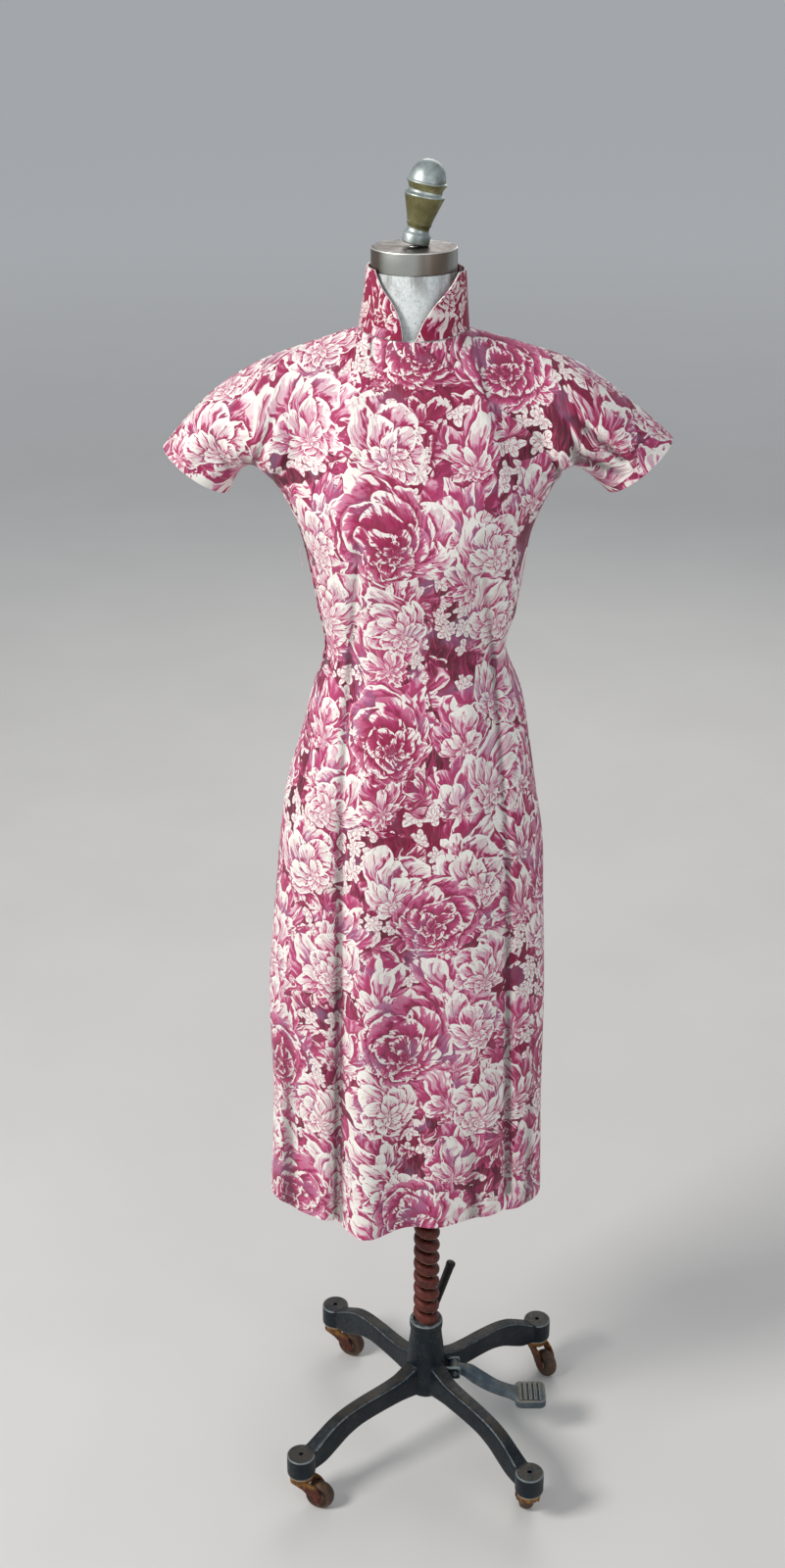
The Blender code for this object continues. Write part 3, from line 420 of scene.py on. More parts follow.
def print_group():
    """The printed colour at a place on the cloth, and its tone."""
    sockets = {"Place": "Vector", "Shift": "Vector",
               "Darken": 0.0, "Crimson": 0.0}
    group, t, given, out = new_group("garden_print", "ShaderNodeTree", sockets,
                                     {"Colour": "Color", "Tone": "Float"})
    place = t.vector("ADD", given["Place"], given["Shift"])
    painted = place
    for scale, amount in ((24.0, 0.020), (75.0, 0.0032)):
        sway = t.vector("SUBTRACT", t.noise(place, scale, flat=True, output=1), (0.5, 0.5, 0.5))
        painted = t.vector("ADD", painted, t.scaled(sway, amount))

    rain = t.noise(t.vector("MULTIPLY", painted, (420.0, 30.0, 1.0)), 1.0, 2.0, 0.6, flat=True)
    ground = t.between(rain, 0.42, 0.75, 0.05, 0.42)
    cluster = t.noise(t.vector("ADD", place, (0.3, 0.7, 0.0)), 19.0, 1.0, flat=True)
    tone = ground
    for name, shift, shape, tones in PRINT_LAYERS:
        layer = t.node("ShaderNodeGroup", node_tree=flowers)
        layer.label = name
        t.feed(layer.inputs["Place"], t.vector("ADD", painted, (*shift, 0.0)))
        for socket, value in zip(FLOWER_SHAPE + FLOWER_TONES, shape + tones):
            layer.inputs[socket].default_value = value
        cover = layer.outputs["Cover"]
        if name == "stars":
            tone = t.blend(t.between(cluster, 0.47, 0.51, 0.0, 0.85), tone, ground)
            cover = t.times(cover, t.between(cluster, 0.50, 0.52))
        tone = t.blend(cover, tone, layer.outputs["Tone"])
    tone = t.minus(tone, t.times(given["Darken"], t.between(tone, 0.92, 0.70, 0.3, 1.0)))
    t.feed(out["Tone"], tone)

    dyed = t.ramp(tone, DYES)
    patches = t.noise(t.vector("ADD", place, (1.7, 0.2, 0.0)), 26.0, 2.0, flat=True)
    smudge = t.times(t.between(patches, 0.55, 0.70, 0.0, 0.45), t.between(tone, 0.92, 0.50))
    dyed = t.colour(smudge, dyed, (*rgb(146, 112, 146), 1.0))
    fields = t.noise(t.vector("ADD", place, (4.1, 2.2, 0.0)), 6.0, 1.0, flat=True)
    crimson = t.between(fields, 0.57, 0.66, 0.0, 0.5)
    crimson = t.times(t.math("MAXIMUM", crimson, given["Crimson"]), t.between(tone, 0.70, 0.35))
    dyed = t.colour(crimson, dyed, (*rgb(140, 2, 58), 1.0))
    t.feed(out["Colour"], dyed)
    return group


garden = print_group()

# %% [markdown]
# ## Cotton, outside and inside
# The face of the cloth takes the full print, a soft sheen and a fine weave as bump. The inside
# shows the dye that came through: the same flowers, duller and deeper. Collar and side strip use
# the print too, moved on, because a maker cuts them from another corner of the cloth. Where a fold
# is deep, a point attribute darkens the colour there: painted shade in the creases.

# %% Printed cotton
WEAVE_PITCH = 0.0007


def cotton(name, shift=(0.0, 0.0, 0.0), darken=0.0, crimson=0.0, reverse=False):
    """Printed cotton; the reverse is the inside of the cloth."""
    mat, t = new_finish(name, roughness=0.70, sheen_weight=0.10, sheen_roughness=0.5,
                                specular_ior_level=0.30)
    uv = t.node("ShaderNodeTexCoord").outputs["UV"]
    printed = t.node("ShaderNodeGroup", node_tree=garden)
    t.feed(printed.inputs["Place"], uv)
    printed.inputs["Shift"].default_value = shift
    printed.inputs["Darken"].default_value = darken
    printed.inputs["Crimson"].default_value = crimson
    colour = printed.outputs["Colour"]
    if reverse:
        colour = t.colour(0.62, colour, (*rgb(120, 34, 66), 1.0))
    soil = t.noise(uv, 60.0, 2.0, flat=True)
    colour = t.colour(t.between(soil, 0.3, 0.75, 0.0, 0.10), colour, (*rgb(150, 120, 120), 1.0))
    # Painted shade: the colour darkens with the depth of the narrow creases, read from the attribute hollow.
    crease_shade_depth = t.node("ShaderNodeAttribute", attribute_name="hollow").outputs["Fac"]
    colour = t.colour(t.times(t.between(crease_shade_depth, 0.0006, 0.0052), 0.66), colour, (*rgb(66, 20, 40), 1.0))
    t.shade("Base Color", colour)

    place = t.split(uv)
    warp = t.math("SINE", t.times(place[0], 2 * pi / WEAVE_PITCH))
    weft = t.math("SINE", t.times(place[1], 2 * pi / WEAVE_PITCH))
    crumple = t.noise(uv, 42.0, 3.0, 0.55, flat=True)
    normal = t.bump(t.times(warp, weft), 0.12, 0.0002)
    t.shade("Normal", t.bump(crumple, 0.32, 0.0025, normal))
    return mat


cotton_face = cotton("printed_cotton")
cotton_back = cotton("printed_cotton_back", shift=(0.47, 0.335, 0.0))
cotton_inset = cotton("printed_cotton_small_front", shift=(0.083, 0.041, 0.0))
cotton_collar = cotton("printed_cotton_collar", shift=(0.455, 0.262, 0.0), darken=0.30, crimson=0.95)
cotton_strip = cotton("printed_cotton_side_strip", shift=(0.21, 0.13, 0.0), darken=0.08)
cotton_turning = cotton("printed_cotton_turning", shift=(0.29, 0.31, 0.0), darken=-0.45)
cotton_inside = cotton("printed_cotton_inside", darken=0.12, reverse=True)
print("cotton finishes:", sum(m.name.startswith("printed_cotton") for m in bpy.data.materials))

# %% [markdown]
# ## The cut of the dress
# The panels follow the same tables as the solids in the frame: half outlines of the body by
# height, and the seams along the top and underside of the sleeves, which are cut in one with
# the body. Here the grid is finer, so that narrow creases show, and the wall is as thin as cotton.

# %% Sizes of the cloth
CLOTH = 0.0011
TURNING = 0.0009
TURNING_WIDTH = 0.016
TURNING_FADE = 0.004
SLEEVE_X = 0.16
GAP = 0.0003
SEAM_DIP = 0.0007
ON_SEAM = 1e-5
HEM_Z = 0.389
CHEST_Z = (1.272, 1.279)
SQUARENESS = 2.2
COLUMNS = 136
ROWS_DOWN = 150
ROWS_UP = 42
SLEEVE_COLUMNS = 24
SLEEVE_SPAN = 0.5
NECK_X = -0.005
NECK_HALF_WIDTH = 0.0565
NECK_HALF_DEPTH = 0.055
NECK_SHARE = 0.5
NECK_Z = {"front": 1.428, "side": 1.4325, "back": 1.441}
ARMHOLE_DEPTH = 0.055
CUFF_DEPTH = 0.041
CUFF_BOW = 0.002
OPENING_LAP = 0.022
OPENING_RAMP = 0.028
LAP_DEPTH = 0.0019

BODY = [  # height, left side, right side, front depth, back depth
    (0.389, -0.1750, 0.1540, 0.086, 0.106),
    (0.527, -0.1690, 0.1510, 0.090, 0.108),
    (0.675, -0.1700, 0.1500, 0.095, 0.111),
    (0.803, -0.1590, 0.1450, 0.101, 0.116),
    (0.867, -0.1530, 0.1420, 0.102, 0.119),
    (0.925, -0.1450, 0.1330, 0.100, 0.117),
    (0.990, -0.1270, 0.1230, 0.095, 0.107),
    (1.040, -0.1140, 0.1140, 0.088, 0.093),
    (1.090, -0.0980, 0.0960, 0.082, 0.080),
    (1.135, -0.1050, 0.1060, 0.091, 0.081),
    (1.180, -0.1130, 0.1130, 0.103, 0.085),
    (1.228, -0.1250, 0.1210, 0.112, 0.090),
    (1.280, -0.1500, 0.1445, 0.112, 0.093),
]

OVERARM_LEFT = [  # share of the way from neck to cuff, x, height
    (0.0, -0.0615, 1.4335), (0.2, -0.1150, 1.4160), (0.4, -0.1640, 1.3970),
    (0.6, -0.2060, 1.3710), (0.8, -0.2370, 1.3420), (1.0, -0.2640, 1.3110),
]
OVERARM_RIGHT = [  # share of the way from neck to cuff, x, height
    (0.0, 0.0515, 1.4320), (0.2, 0.1130, 1.4150), (0.4, 0.1640, 1.3960),
    (0.6, 0.2050, 1.3680), (0.8, 0.2370, 1.3420), (1.0, 0.2630, 1.3200),
]
UNDERARM_LEFT = [  # share of the way from chest to cuff, x, height
    (0.00, -0.1472, 1.2720), (0.25, -0.1590, 1.2860), (0.50, -0.1730, 1.2920),
    (0.75, -0.1860, 1.2840), (1.00, -0.1975, 1.2625),
]
UNDERARM_RIGHT = [  # share of the way from chest to cuff, x, height
    (0.00, 0.1442, 1.2790), (0.25, 0.1510, 1.2870), (0.50, 0.1610, 1.2900),
    (0.75, 0.1770, 1.2810), (1.00, 0.1975, 1.2625),
]
OPENING_EDGE = [  # x, height of the diagonal opening edge
    (0.003, 1.4240), (0.034, 1.3970), (0.075, 1.3680), (0.115, 1.3360), (0.136, 1.3060), (0.150, 1.2830),
]
CUPS = [  # x, height, radius, how far it stands out
    (-0.056, 1.225, 0.055, 0.010), (0.056, 1.225, 0.055, 0.010),
]
print("rows and columns:", ROWS_DOWN + ROWS_UP, "x", COLUMNS + 2 * SLEEVE_COLUMNS)

# %% [markdown]
# ## Folds, placed one by one
# Each row is one fold: where it starts and ends, how far it stands out (or sinks, below zero) at
# each end, and half its width. The wide ones are in the solids too. The narrow ones are what a
# fitted cotton dress does: drag lines fan out of the armpits, the waist crumples beside the side
# opening, and the skirt hangs in long soft troughs. Their sizes and spacing are uneven on purpose.

# %% Wide folds and narrow creases
FRONT_FOLDS = [  # start x, z, end x, z, stands out at start, at end, half width
    (-0.048, 1.080, -0.060, 0.360, 0.000, 0.034, 0.034),
    (-0.073, 1.070, -0.093, 0.370, -0.004, -0.009, 0.014),
    (0.078, 1.100, 0.108, 0.370, -0.003, -0.007, 0.015),
    (-0.062, 1.220, -0.072, 1.030, -0.003, -0.004, 0.012),
    (0.062, 1.200, 0.080, 1.040, -0.003, -0.005, 0.012),
    (0.140, 1.370, 0.212, 1.318, 0.003, 0.007, 0.014),
    (-0.126, 1.330, -0.110, 1.290, -0.005, -0.003, 0.012),
    (0.128, 1.335, 0.112, 1.300, -0.005, -0.003, 0.012),
    (-0.185, 1.340, -0.222, 1.302, -0.003, -0.005, 0.013),
]
BACK_FOLDS = [  # start x, z, end x, z, stands out at start, at end, half width
    (-0.058, 1.180, -0.056, 1.000, -0.004, -0.003, 0.013),
    (0.054, 1.180, 0.056, 1.000, -0.004, -0.003, 0.013),
    (-0.070, 0.860, -0.082, 0.360, 0.000, 0.012, 0.030),
    (0.050, 0.840, 0.066, 0.360, 0.000, 0.010, 0.028),
    (0.000, 0.760, -0.006, 0.360, 0.000, -0.008, 0.026),
    (-0.128, 1.340, -0.112, 1.290, -0.005, -0.003, 0.013),
    (0.130, 1.345, 0.112, 1.295, -0.006, -0.003, 0.013),
]

FRONT_CREASES = [  # start x, z, end x, z, stands out at start, at end, half width
    (-0.0616, 1.238, -0.0825, 0.950, -0.002, -0.0026, 0.005),
    (-0.083, 0.940, -0.087, 0.700, -0.0026, -0.0042, 0.0062),
    (-0.087, 0.700, -0.091, 0.395, -0.0042, -0.0056, 0.0068),
    (-0.104, 0.900, -0.108, 0.395, 0.0004, 0.003, 0.009),
    (0.065, 1.210, 0.080, 1.090, -0.0014, -0.0026, 0.005),
    (0.080, 1.090, 0.100, 0.860, -0.0026, -0.0022, 0.0052),
    (0.100, 0.860, 0.111, 0.413, -0.0024, -0.0046, 0.0064),
    (-0.145, 0.800, -0.152, 0.380, 0.000, -0.004, 0.012),
    (0.015, 0.700, 0.024, 0.380, 0.000, 0.005, 0.022),
    (0.062, 0.640, 0.072, 0.380, 0.000, -0.003, 0.014),
    (0.133, 0.740, 0.136, 0.380, 0.000, -0.003, 0.009),
    (-0.049, 1.428, -0.044, 1.392, -0.0028, -0.0004, 0.0045),
    (-0.036, 1.424, -0.025, 1.398, -0.0016, -0.0002, 0.004),
    (0.044, 1.428, 0.060, 1.398, -0.0018, -0.0004, 0.0045),
    (-0.148, 1.290, -0.118, 1.322, -0.003, -0.0006, 0.005),
    (-0.147, 1.283, -0.108, 1.296, -0.0032, -0.0006, 0.0045),
    (-0.146, 1.275, -0.111, 1.270, -0.0026, -0.0004, 0.0045),
    (-0.143, 1.262, -0.112, 1.245, -0.002, -0.0003, 0.005),
    (0.144, 1.294, 0.116, 1.328, -0.0032, -0.0006, 0.005),
    (0.143, 1.288, 0.106, 1.303, -0.003, -0.0004, 0.0045),
    (0.142, 1.280, 0.108, 1.276, -0.0028, -0.0004, 0.0045),
    (0.138, 1.262, 0.110, 1.243, -0.002, -0.0003, 0.005),
    (-0.170, 1.298, -0.138, 1.376, -0.0034, -0.0008, 0.006),
    (-0.179, 1.300, -0.164, 1.368, -0.002, 0.0012, 0.006),
    (-0.194, 1.290, -0.208, 1.336, -0.0022, -0.0008, 0.005),
    (0.164, 1.300, 0.142, 1.362, -0.004, -0.0014, 0.0065),
    (0.166, 1.306, 0.208, 1.290, -0.0046, -0.002, 0.007),
    (0.156, 1.352, 0.208, 1.306, -0.0034, -0.003, 0.006),
    (0.180, 1.362, 0.232, 1.326, 0.0014, 0.002, 0.008),
    (-0.117, 1.160, -0.092, 1.148, -0.002, -0.0003, 0.004),
    (-0.110, 1.128, -0.082, 1.124, -0.0024, -0.0003, 0.0038),
    (-0.105, 1.106, -0.076, 1.098, -0.0022, -0.0004, 0.0036),
    (-0.102, 1.086, -0.066, 1.088, -0.002, -0.0002, 0.0036),
    (-0.106, 1.066, -0.076, 1.074, -0.0022, -0.0004, 0.0038),
    (-0.120, 1.186, -0.098, 1.178, -0.0016, -0.0002, 0.004),
    (0.104, 1.138, 0.080, 1.130, -0.0018, -0.0003, 0.004),
    (0.098, 1.108, 0.074, 1.104, -0.002, -0.0003, 0.0038),
    (0.099, 1.084, 0.064, 1.082, -0.002, -0.0004, 0.0038),
    (0.106, 1.060, 0.080, 1.066, -0.0016, -0.0002, 0.004),
    (-0.030, 1.093, 0.022, 1.088, 0.000, -0.0008, 0.005),
    (-0.120, 1.010, -0.088, 1.036, -0.0016, -0.0003, 0.006),
    (0.117, 1.010, 0.090, 1.034, -0.0016, -0.0003, 0.006),
    (-0.030, 1.395, 0.020, 1.340, -0.0006, 0.000, 0.007),
    (0.010, 1.412, 0.070, 1.360, -0.0008, 0.000, 0.005),
]
BACK_CREASES = [  # start x, z, end x, z, stands out at start, at end, half width
    (-0.057, 1.190, -0.056, 1.000, -0.0014, -0.0014, 0.004),
    (0.054, 1.190, 0.055, 1.000, -0.0014, -0.0014, 0.004),
    (-0.148, 1.290, -0.116, 1.324, -0.003, -0.0006, 0.005),
    (-0.147, 1.281, -0.106, 1.292, -0.003, -0.0006, 0.0045),
    (-0.144, 1.268, -0.110, 1.262, -0.0022, -0.0004, 0.0045),
    (0.144, 1.292, 0.114, 1.330, -0.0032, -0.0006, 0.0052),
    (0.143, 1.284, 0.104, 1.298, -0.0028, -0.0004, 0.0045),
    (0.141, 1.272, 0.109, 1.264, -0.0024, -0.0004, 0.0045),
    (-0.174, 1.300, -0.140, 1.372, -0.003, -0.0008, 0.006),
    (0.168, 1.300, 0.144, 1.368, -0.0034, -0.001, 0.0062),
    (-0.196, 1.296, -0.214, 1.332, -0.002, -0.0006, 0.005),
    (0.190, 1.296, 0.216, 1.334, -0.0024, -0.0006, 0.0055),
    (-0.104, 1.112, -0.064, 1.104, -0.002, -0.0003, 0.0042),
    (-0.100, 1.090, -0.050, 1.086, -0.002, -0.0004, 0.004),
    (-0.108, 1.068, -0.070, 1.066, -0.0018, -0.0002, 0.0044),
    (0.102, 1.116, 0.060, 1.110, -0.0018, -0.0003, 0.0042),
    (0.098, 1.092, 0.046, 1.090, -0.002, -0.0004, 0.004),
    (0.105, 1.070, 0.074, 1.064, -0.0018, -0.0002, 0.0044),
    (-0.050, 1.436, -0.038, 1.398, -0.0018, -0.0003, 0.0045),
    (0.040, 1.436, 0.030, 1.402, -0.0014, -0.0003, 0.0045),
    (-0.126, 0.760, -0.136, 0.380, 0.000, -0.0044, 0.014),
    (0.112, 0.740, 0.118, 0.380, 0.000, -0.004, 0.013),
    (0.024, 0.600, 0.028, 0.380, 0.000, 0.004, 0.016),
    (-0.040, 0.640, -0.044, 0.380, 0.000, -0.003, 0.012),
]
CREASE_STRENGTH = 1.6
DEEP_SHARE = 0.8
FOLD_REACH = 3.0
UNEVENNESS = [  # height, waves across and up, offset of the pattern
    (0.0011, 22, 14, 5.3), (0.0005, 58, 40, 9.1),
]
FOLDS = {FRONT: FRONT_FOLDS, BACK: BACK_FOLDS}
CREASES = {FRONT: [], BACK: []}
for side, rows in ((FRONT, FRONT_CREASES), (BACK, BACK_CREASES)):
    for *line, start, end, width in rows:
        CREASES[side].append((*line, CREASE_STRENGTH * start, CREASE_STRENGTH * end, width))
ALL_FOLDS = {side: FOLDS[side] + CREASES[side] for side in (FRONT, BACK)}
print("folds and creases:", [(len(FOLDS[side]), len(CREASES[side])) for side in (FRONT, BACK)])


@lru_cache(maxsize=None)
def body_row(z):
    """The body's outline at a height."""
    return smooth_row(BODY, z)


def stands_out(fold, x, z, share_of_width=1.0):
    """How far one fold stands out at a place, nothing past FOLD_REACH half widths."""
    x0, z0, x1, z1, start, end, width = fold
    along_x, along_z = x1 - x0, z1 - z0
    share = ((x - x0) * along_x + (z - z0) * along_z) / (along_x**2 + along_z**2)
    share = min(max(share, 0.0), 1.0)
    away = ((x - mix(x0, x1, share)) ** 2 + (z - mix(z0, z1, share)) ** 2) / (share_of_width * width) ** 2
    return mix(start, end, share) * exp(-away) if away < FOLD_REACH**2 else 0.0


def fold_height(side, x, z):
    """How far folds, cups and the small unevenness of worn cotton stand out at a place."""
    height = 0.0
    if side == FRONT:
        for cup_x, cup_z, radius, rise in CUPS:
            height += rise * exp(-((x - cup_x) ** 2 + (z - cup_z) ** 2) / radius**2)
    for fold in ALL_FOLDS[side]:
        height += stands_out(fold, x, z)
    for amount, across, up, offset in UNEVENNESS:
        height += amount * noise.noise(Vector((x * across, z * up, side * offset)))
    return height


def crease_depth(side, x, z):
    """How deep a place lies in narrow creases, in metres."""
    depth = 0.0
    for crease in CREASES[side]:
        depth -= stands_out(crease, x, z, DEEP_SHARE)
    return max(depth, 0.0)


# %% [markdown]
# ## From tables to a surface
# A point on the body comes from a height and an angle round it. Above the chest line the panel
# spreads into the shoulder and the sleeve, so a point there lies between the underarm seam and
# the seam along the top, and it swings out by the depth of the arm.

# %% Points of a panel
def torso_point(side, across, z):
    """A point of the bodice or skirt; across runs from -1 at the left seam to 1 at the right."""
    left, right, front, back = body_row(z)
    share = sin(across * pi / 2)
    depth = front if side == FRONT else back
    round_off = max(1 - abs(share) ** SQUARENESS, 0.0) ** (1 / SQUARENESS)
    x = mix(left, right, (share + 1) / 2)
    edge = 1 - abs(share) ** 8
    return Vector((x, side * (depth * round_off + fold_height(side, x, z) * edge), z))


def chest_height(across):
    """The height of the line between the two underarm corners."""
    return mix(CHEST_Z[0], CHEST_Z[1], (sin(across * pi / 2) + 1) / 2)


def neck_point(side, turn):
    """A point of the neckline; turn is 0 in the middle and -90 or 90 degrees at the sides."""
    middle = NECK_Z["front"] if side == FRONT else NECK_Z["back"]
    z = mix(NECK_Z["side"], middle, cos(turn) ** 2)
    return Vector((NECK_X + NECK_HALF_WIDTH * sin(turn), side * NECK_HALF_DEPTH * cos(turn), z))


def top_point(side, across):
    """A point of the neckline, the shoulder seam or the seam along the top of a sleeve."""
    reach = abs(across)
    if reach <= NECK_SHARE:
        return neck_point(side, across / NECK_SHARE * pi / 2)
    share = (reach - NECK_SHARE) / (1 + SLEEVE_SPAN - NECK_SHARE)
    x, z = smooth_row(OVERARM_LEFT if across < 0 else OVERARM_RIGHT, share)
    return Vector((x, 0.0, z))


@lru_cache(maxsize=None)
def bottom_point(side, across):
    """A point of the chest line or of the seam under a sleeve."""
    if abs(across) <= 1:
        return torso_point(side, across, chest_height(across))
    share = (abs(across) - 1) / SLEEVE_SPAN
    x, z = smooth_row(UNDERARM_LEFT if across < 0 else UNDERARM_RIGHT, share)
    return Vector((x, 0.0, z))


def upper_point(side, across, up):
    """A point of the upper bodice or a sleeve; up runs from the chest line to the top seam."""
    low, high = bottom_point(side, across), top_point(side, across)
    reach = abs(across)
    roundness = mix(0.25, 0.92, smoothstep(0.15, NECK_SHARE, reach))
    rise = mix(up, sin(up * pi / 2), roundness)
    fall = mix(1 - up, cos(up * pi / 2), roundness)
    flat = low.lerp(high, rise)
    flat.y = high.y + (low.y - high.y) * fall
    half = (1 - cos(up * pi)) / 2
    bulge = low.lerp(high, half)
    sleeve = smoothstep(1.0, 1 + SLEEVE_SPAN, reach)
    bulge.y += side * mix(ARMHOLE_DEPTH, CUFF_DEPTH, sleeve) * sin(up * pi)
    point = flat.lerp(bulge, smoothstep(NECK_SHARE, 1.0, reach))
    if reach > 1:
        axis = Vector((high.z - low.z, 0.0, low.x - high.x)).normalized()
        axis *= 1 if across > 0 else -1
        point += axis * CUFF_BOW * sleeve * sin(up * pi)
        point.y += side * fold_height(side, point.x, point.z) * max(sin(up * pi), 0.0) ** 0.5
    elif up > 0:
        still = max(sin(up * pi), 0.0) ** 0.5
        edge = mix(1 - abs(sin(across * pi / 2)) ** 8, still, smoothstep(0, 0.3, up))
        point.y += side * (fold_height(side, point.x, point.z) * edge * (1 - smoothstep(0.7, 1, up)))
        low_fold = fold_height(side, low.x, low.z) * (1 - abs(sin(across * pi / 2)) ** 8)
        point.y -= side * low_fold * (fall if reach <= NECK_SHARE else mix(fall, 1 - half,
                                      smoothstep(NECK_SHARE, 1.0, reach)))
    return point


def columns_across():
    """Where the columns of a panel stand, from one cuff to the other."""
    step = SLEEVE_SPAN / SLEEVE_COLUMNS
    outer = [1 + step * i for i in range(1, SLEEVE_COLUMNS + 1)]
    middle = [-1 + 2 * i / COLUMNS for i in range(COLUMNS + 1)]
    return [-value for value in reversed(outer)] + middle + outer


# %% [markdown]
# ## A panel with its own map
# A print keeps its size only if the map is in real lengths. So the map is measured on the
# finished grid: sideways lengths are added up from the middle column outwards, and upward lengths
# from the chest line. Seams then cut flowers in two, as they do on a sewn dress.

# %% One open sheet for a panel
def panel_sheet(side):
    """The front or back as one open sheet; each vertex carries its place on the flat cloth."""
    bm = bmesh.new()
    map_u, map_v = bm.verts.layers.float.new("map_u"), bm.verts.layers.float.new("map_v")
    grid = {}
    places = columns_across()
    for j, across in enumerate(places):
        if abs(across) <= 1:
            for k in range(ROWS_DOWN):
                z = mix(HEM_Z, chest_height(across), k / ROWS_DOWN)
                grid[j, k] = bm.verts.new(torso_point(side, across, z))
        for k in range(ROWS_UP + 1):
            grid[j, ROWS_DOWN + k] = bm.verts.new(upper_point(side, across, k / ROWS_UP))
    middle = len(places) // 2
    for k in range(ROWS_DOWN + ROWS_UP + 1):
        for step in (1, -1):
            j, length = middle, 0.0
            grid[j, k][map_u] = 0.0
            while (j + step, k) in grid:
                a, b = grid[j, k].co, grid[j + step, k].co
                length += step * hypot(b.x - a.x, b.y - a.y)
                j += step
                grid[j, k][map_u] = length
    for j in range(len(places)):
        grid[j, ROWS_DOWN][map_v] = grid[j, ROWS_DOWN].co.z
        for step, end in ((1, ROWS_DOWN + ROWS_UP), (-1, 0)):
            k = ROWS_DOWN
            while k != end and (j, k + step) in grid:
                a, b = grid[j, k].co, grid[j, k + step].co
                grid[j, k + step][map_v] = grid[j, k][map_v] + step * hypot(b.z - a.z, b.y - a.y)
                k += step
    for j in range(len(places) - 1):
        for k in range(ROWS_DOWN + ROWS_UP):
            corners = [(j, k), (j + 1, k), (j + 1, k + 1), (j, k + 1)]
            if all(corner in grid for corner in corners):
                if side == BACK:
                    corners.reverse()
                bm.faces.new([grid[corner] for corner in corners])
    return bm


def wall(name, bm, finishes, thickness=None, sunk=None, seam_side=0, rim_slot=0):
    """Give a sheet its thickness inwards and close its rims: a thin shell with two finishes."""
    bm.normal_update()
    bm.verts.index_update()
    map_u, map_v = bm.verts.layers.float["map_u"], bm.verts.layers.float["map_v"]
    outer, inner, places, crease_shade_depths = [], [], [], []
    for vert in bm.verts:
        normal = vert.normal.copy()
        shift = Vector()
        depth = sunk(vert.co) if sunk else 0.0
        if seam_side and abs(vert.co.y) < ON_SEAM:
            normal.y = 0.0
            normal.normalize()
            shift.y = seam_side * GAP / 2
            depth += SEAM_DIP
        thick = thickness(vert.co) if thickness else CLOTH
        outer.append(vert.co - normal * depth + shift)
        inner.append(vert.co - normal * (depth + thick) + shift)
        places.append((vert[map_u], vert[map_v]))
        crease_shade_depths.append(crease_depth(seam_side, vert.co.x, vert.co.z) if seam_side else 0.0)
    count = len(outer)
    faces, slots = [], []
    for face in bm.faces:
        ids = [v.index for v in face.verts]
        faces += [ids, [i + count for i in reversed(ids)]]
        slots += [0, 1]
    for edge in bm.edges:
        if edge.is_boundary:
            loop = edge.link_loops[0]
            a, b = loop.vert.index, loop.link_loop_next.vert.index
            faces.append([b, a, a + count, b + count])
            slots.append(rim_slot)
    bm.free()
    mesh = bpy.data.meshes.new(name)
    mesh.from_pydata(outer + inner, [], faces)
    mesh.update()
    mesh.polygons.foreach_set("material_index", slots)
    # The depth of the narrow creases goes to the attribute hollow, which darkens the cotton as painted shade.
    mesh.attributes.new("hollow", "FLOAT", "POINT").data.foreach_set("value", crease_shade_depths + [0.0] * count)
    cloth_map = mesh.uv_layers.new(name="cloth")
    for loop in mesh.loops:
        cloth_map.data[loop.index].uv = places[loop.vertex_index % count]
    mesh.shade_smooth()
    mesh.set_sharp_from_angle(angle=radians(60))
    for finish in finishes:
        mesh.materials.append(finish)
    return linked(name, mesh)


def half_area(obj):
    """Half the surface of a thin closed shell: the area of its cloth."""
    return sum(face.area for face in obj.data.polygons) / 2


# %% [markdown]
# ## The diagonal opening
# A cheongsam closes from the throat down to one underarm. The main front ends on that line and
# the small front runs on under it. Both are cut from the same sheet: the sheet is bent so that the
# line is straight, bisected, and bent back.

# %% Cut along the opening
def opening_shift(x):
    """How far the diagonal opening edge lies above a straight line between its ends."""
    (x0, z0), (x1, z1) = OPENING_EDGE[0], OPENING_EDGE[-1]
    if not x0 < x < x1:
        return 0.0
    return smooth_row(OPENING_EDGE, x)[0] - mix(z0, z1, (x - x0) / (x1 - x0))


def above_opening(point):
    """The distance of a place above the diagonal opening edge, below it as a negative."""
    (x0, z0), (x1, z1) = OPENING_EDGE[0], OPENING_EDGE[-1]
    length = hypot(x1 - x0, z1 - z0)
    height = point.z - opening_shift(point.x)
    return ((height - z0) * (x1 - x0) - (point.x - x0) * (z1 - z0)) / length


def cut_along_opening(bm, lap):
    """Add edges along the opening edge, lowered by lap."""
    (x0, z0), (x1, z1) = OPENING_EDGE[0], OPENING_EDGE[-1]
    normal = Vector((z0 - z1, 0.0, x1 - x0)).normalized()
    for vert in bm.verts:
        vert.co.z -= opening_shift(vert.co.x)
    everything = bm.verts[:] + bm.edges[:] + bm.faces[:]
    start = Vector((x0, 0.0, z0)) - normal * lap
    bmesh.ops.bisect_plane(bm, geom=everything, dist=0.0002, plane_co=start, plane_no=normal)
    for vert in bm.verts:
        vert.co.z += opening_shift(vert.co.x)


def keep_faces(bm, test):
    """Delete the faces whose middle fails a test, and what they leave loose."""
    gone = [face for face in bm.faces if not test(above_opening(face.calc_center_median()))]
    bmesh.ops.delete(bm, geom=gone, context="FACES")
    return bm


CUFF_ENDS = {right: [tuple(table[-1][1:]) for table in tables] for right, tables in
             ((False, (OVERARM_LEFT, UNDERARM_LEFT)), (True, (OVERARM_RIGHT, UNDERARM_RIGHT)))}


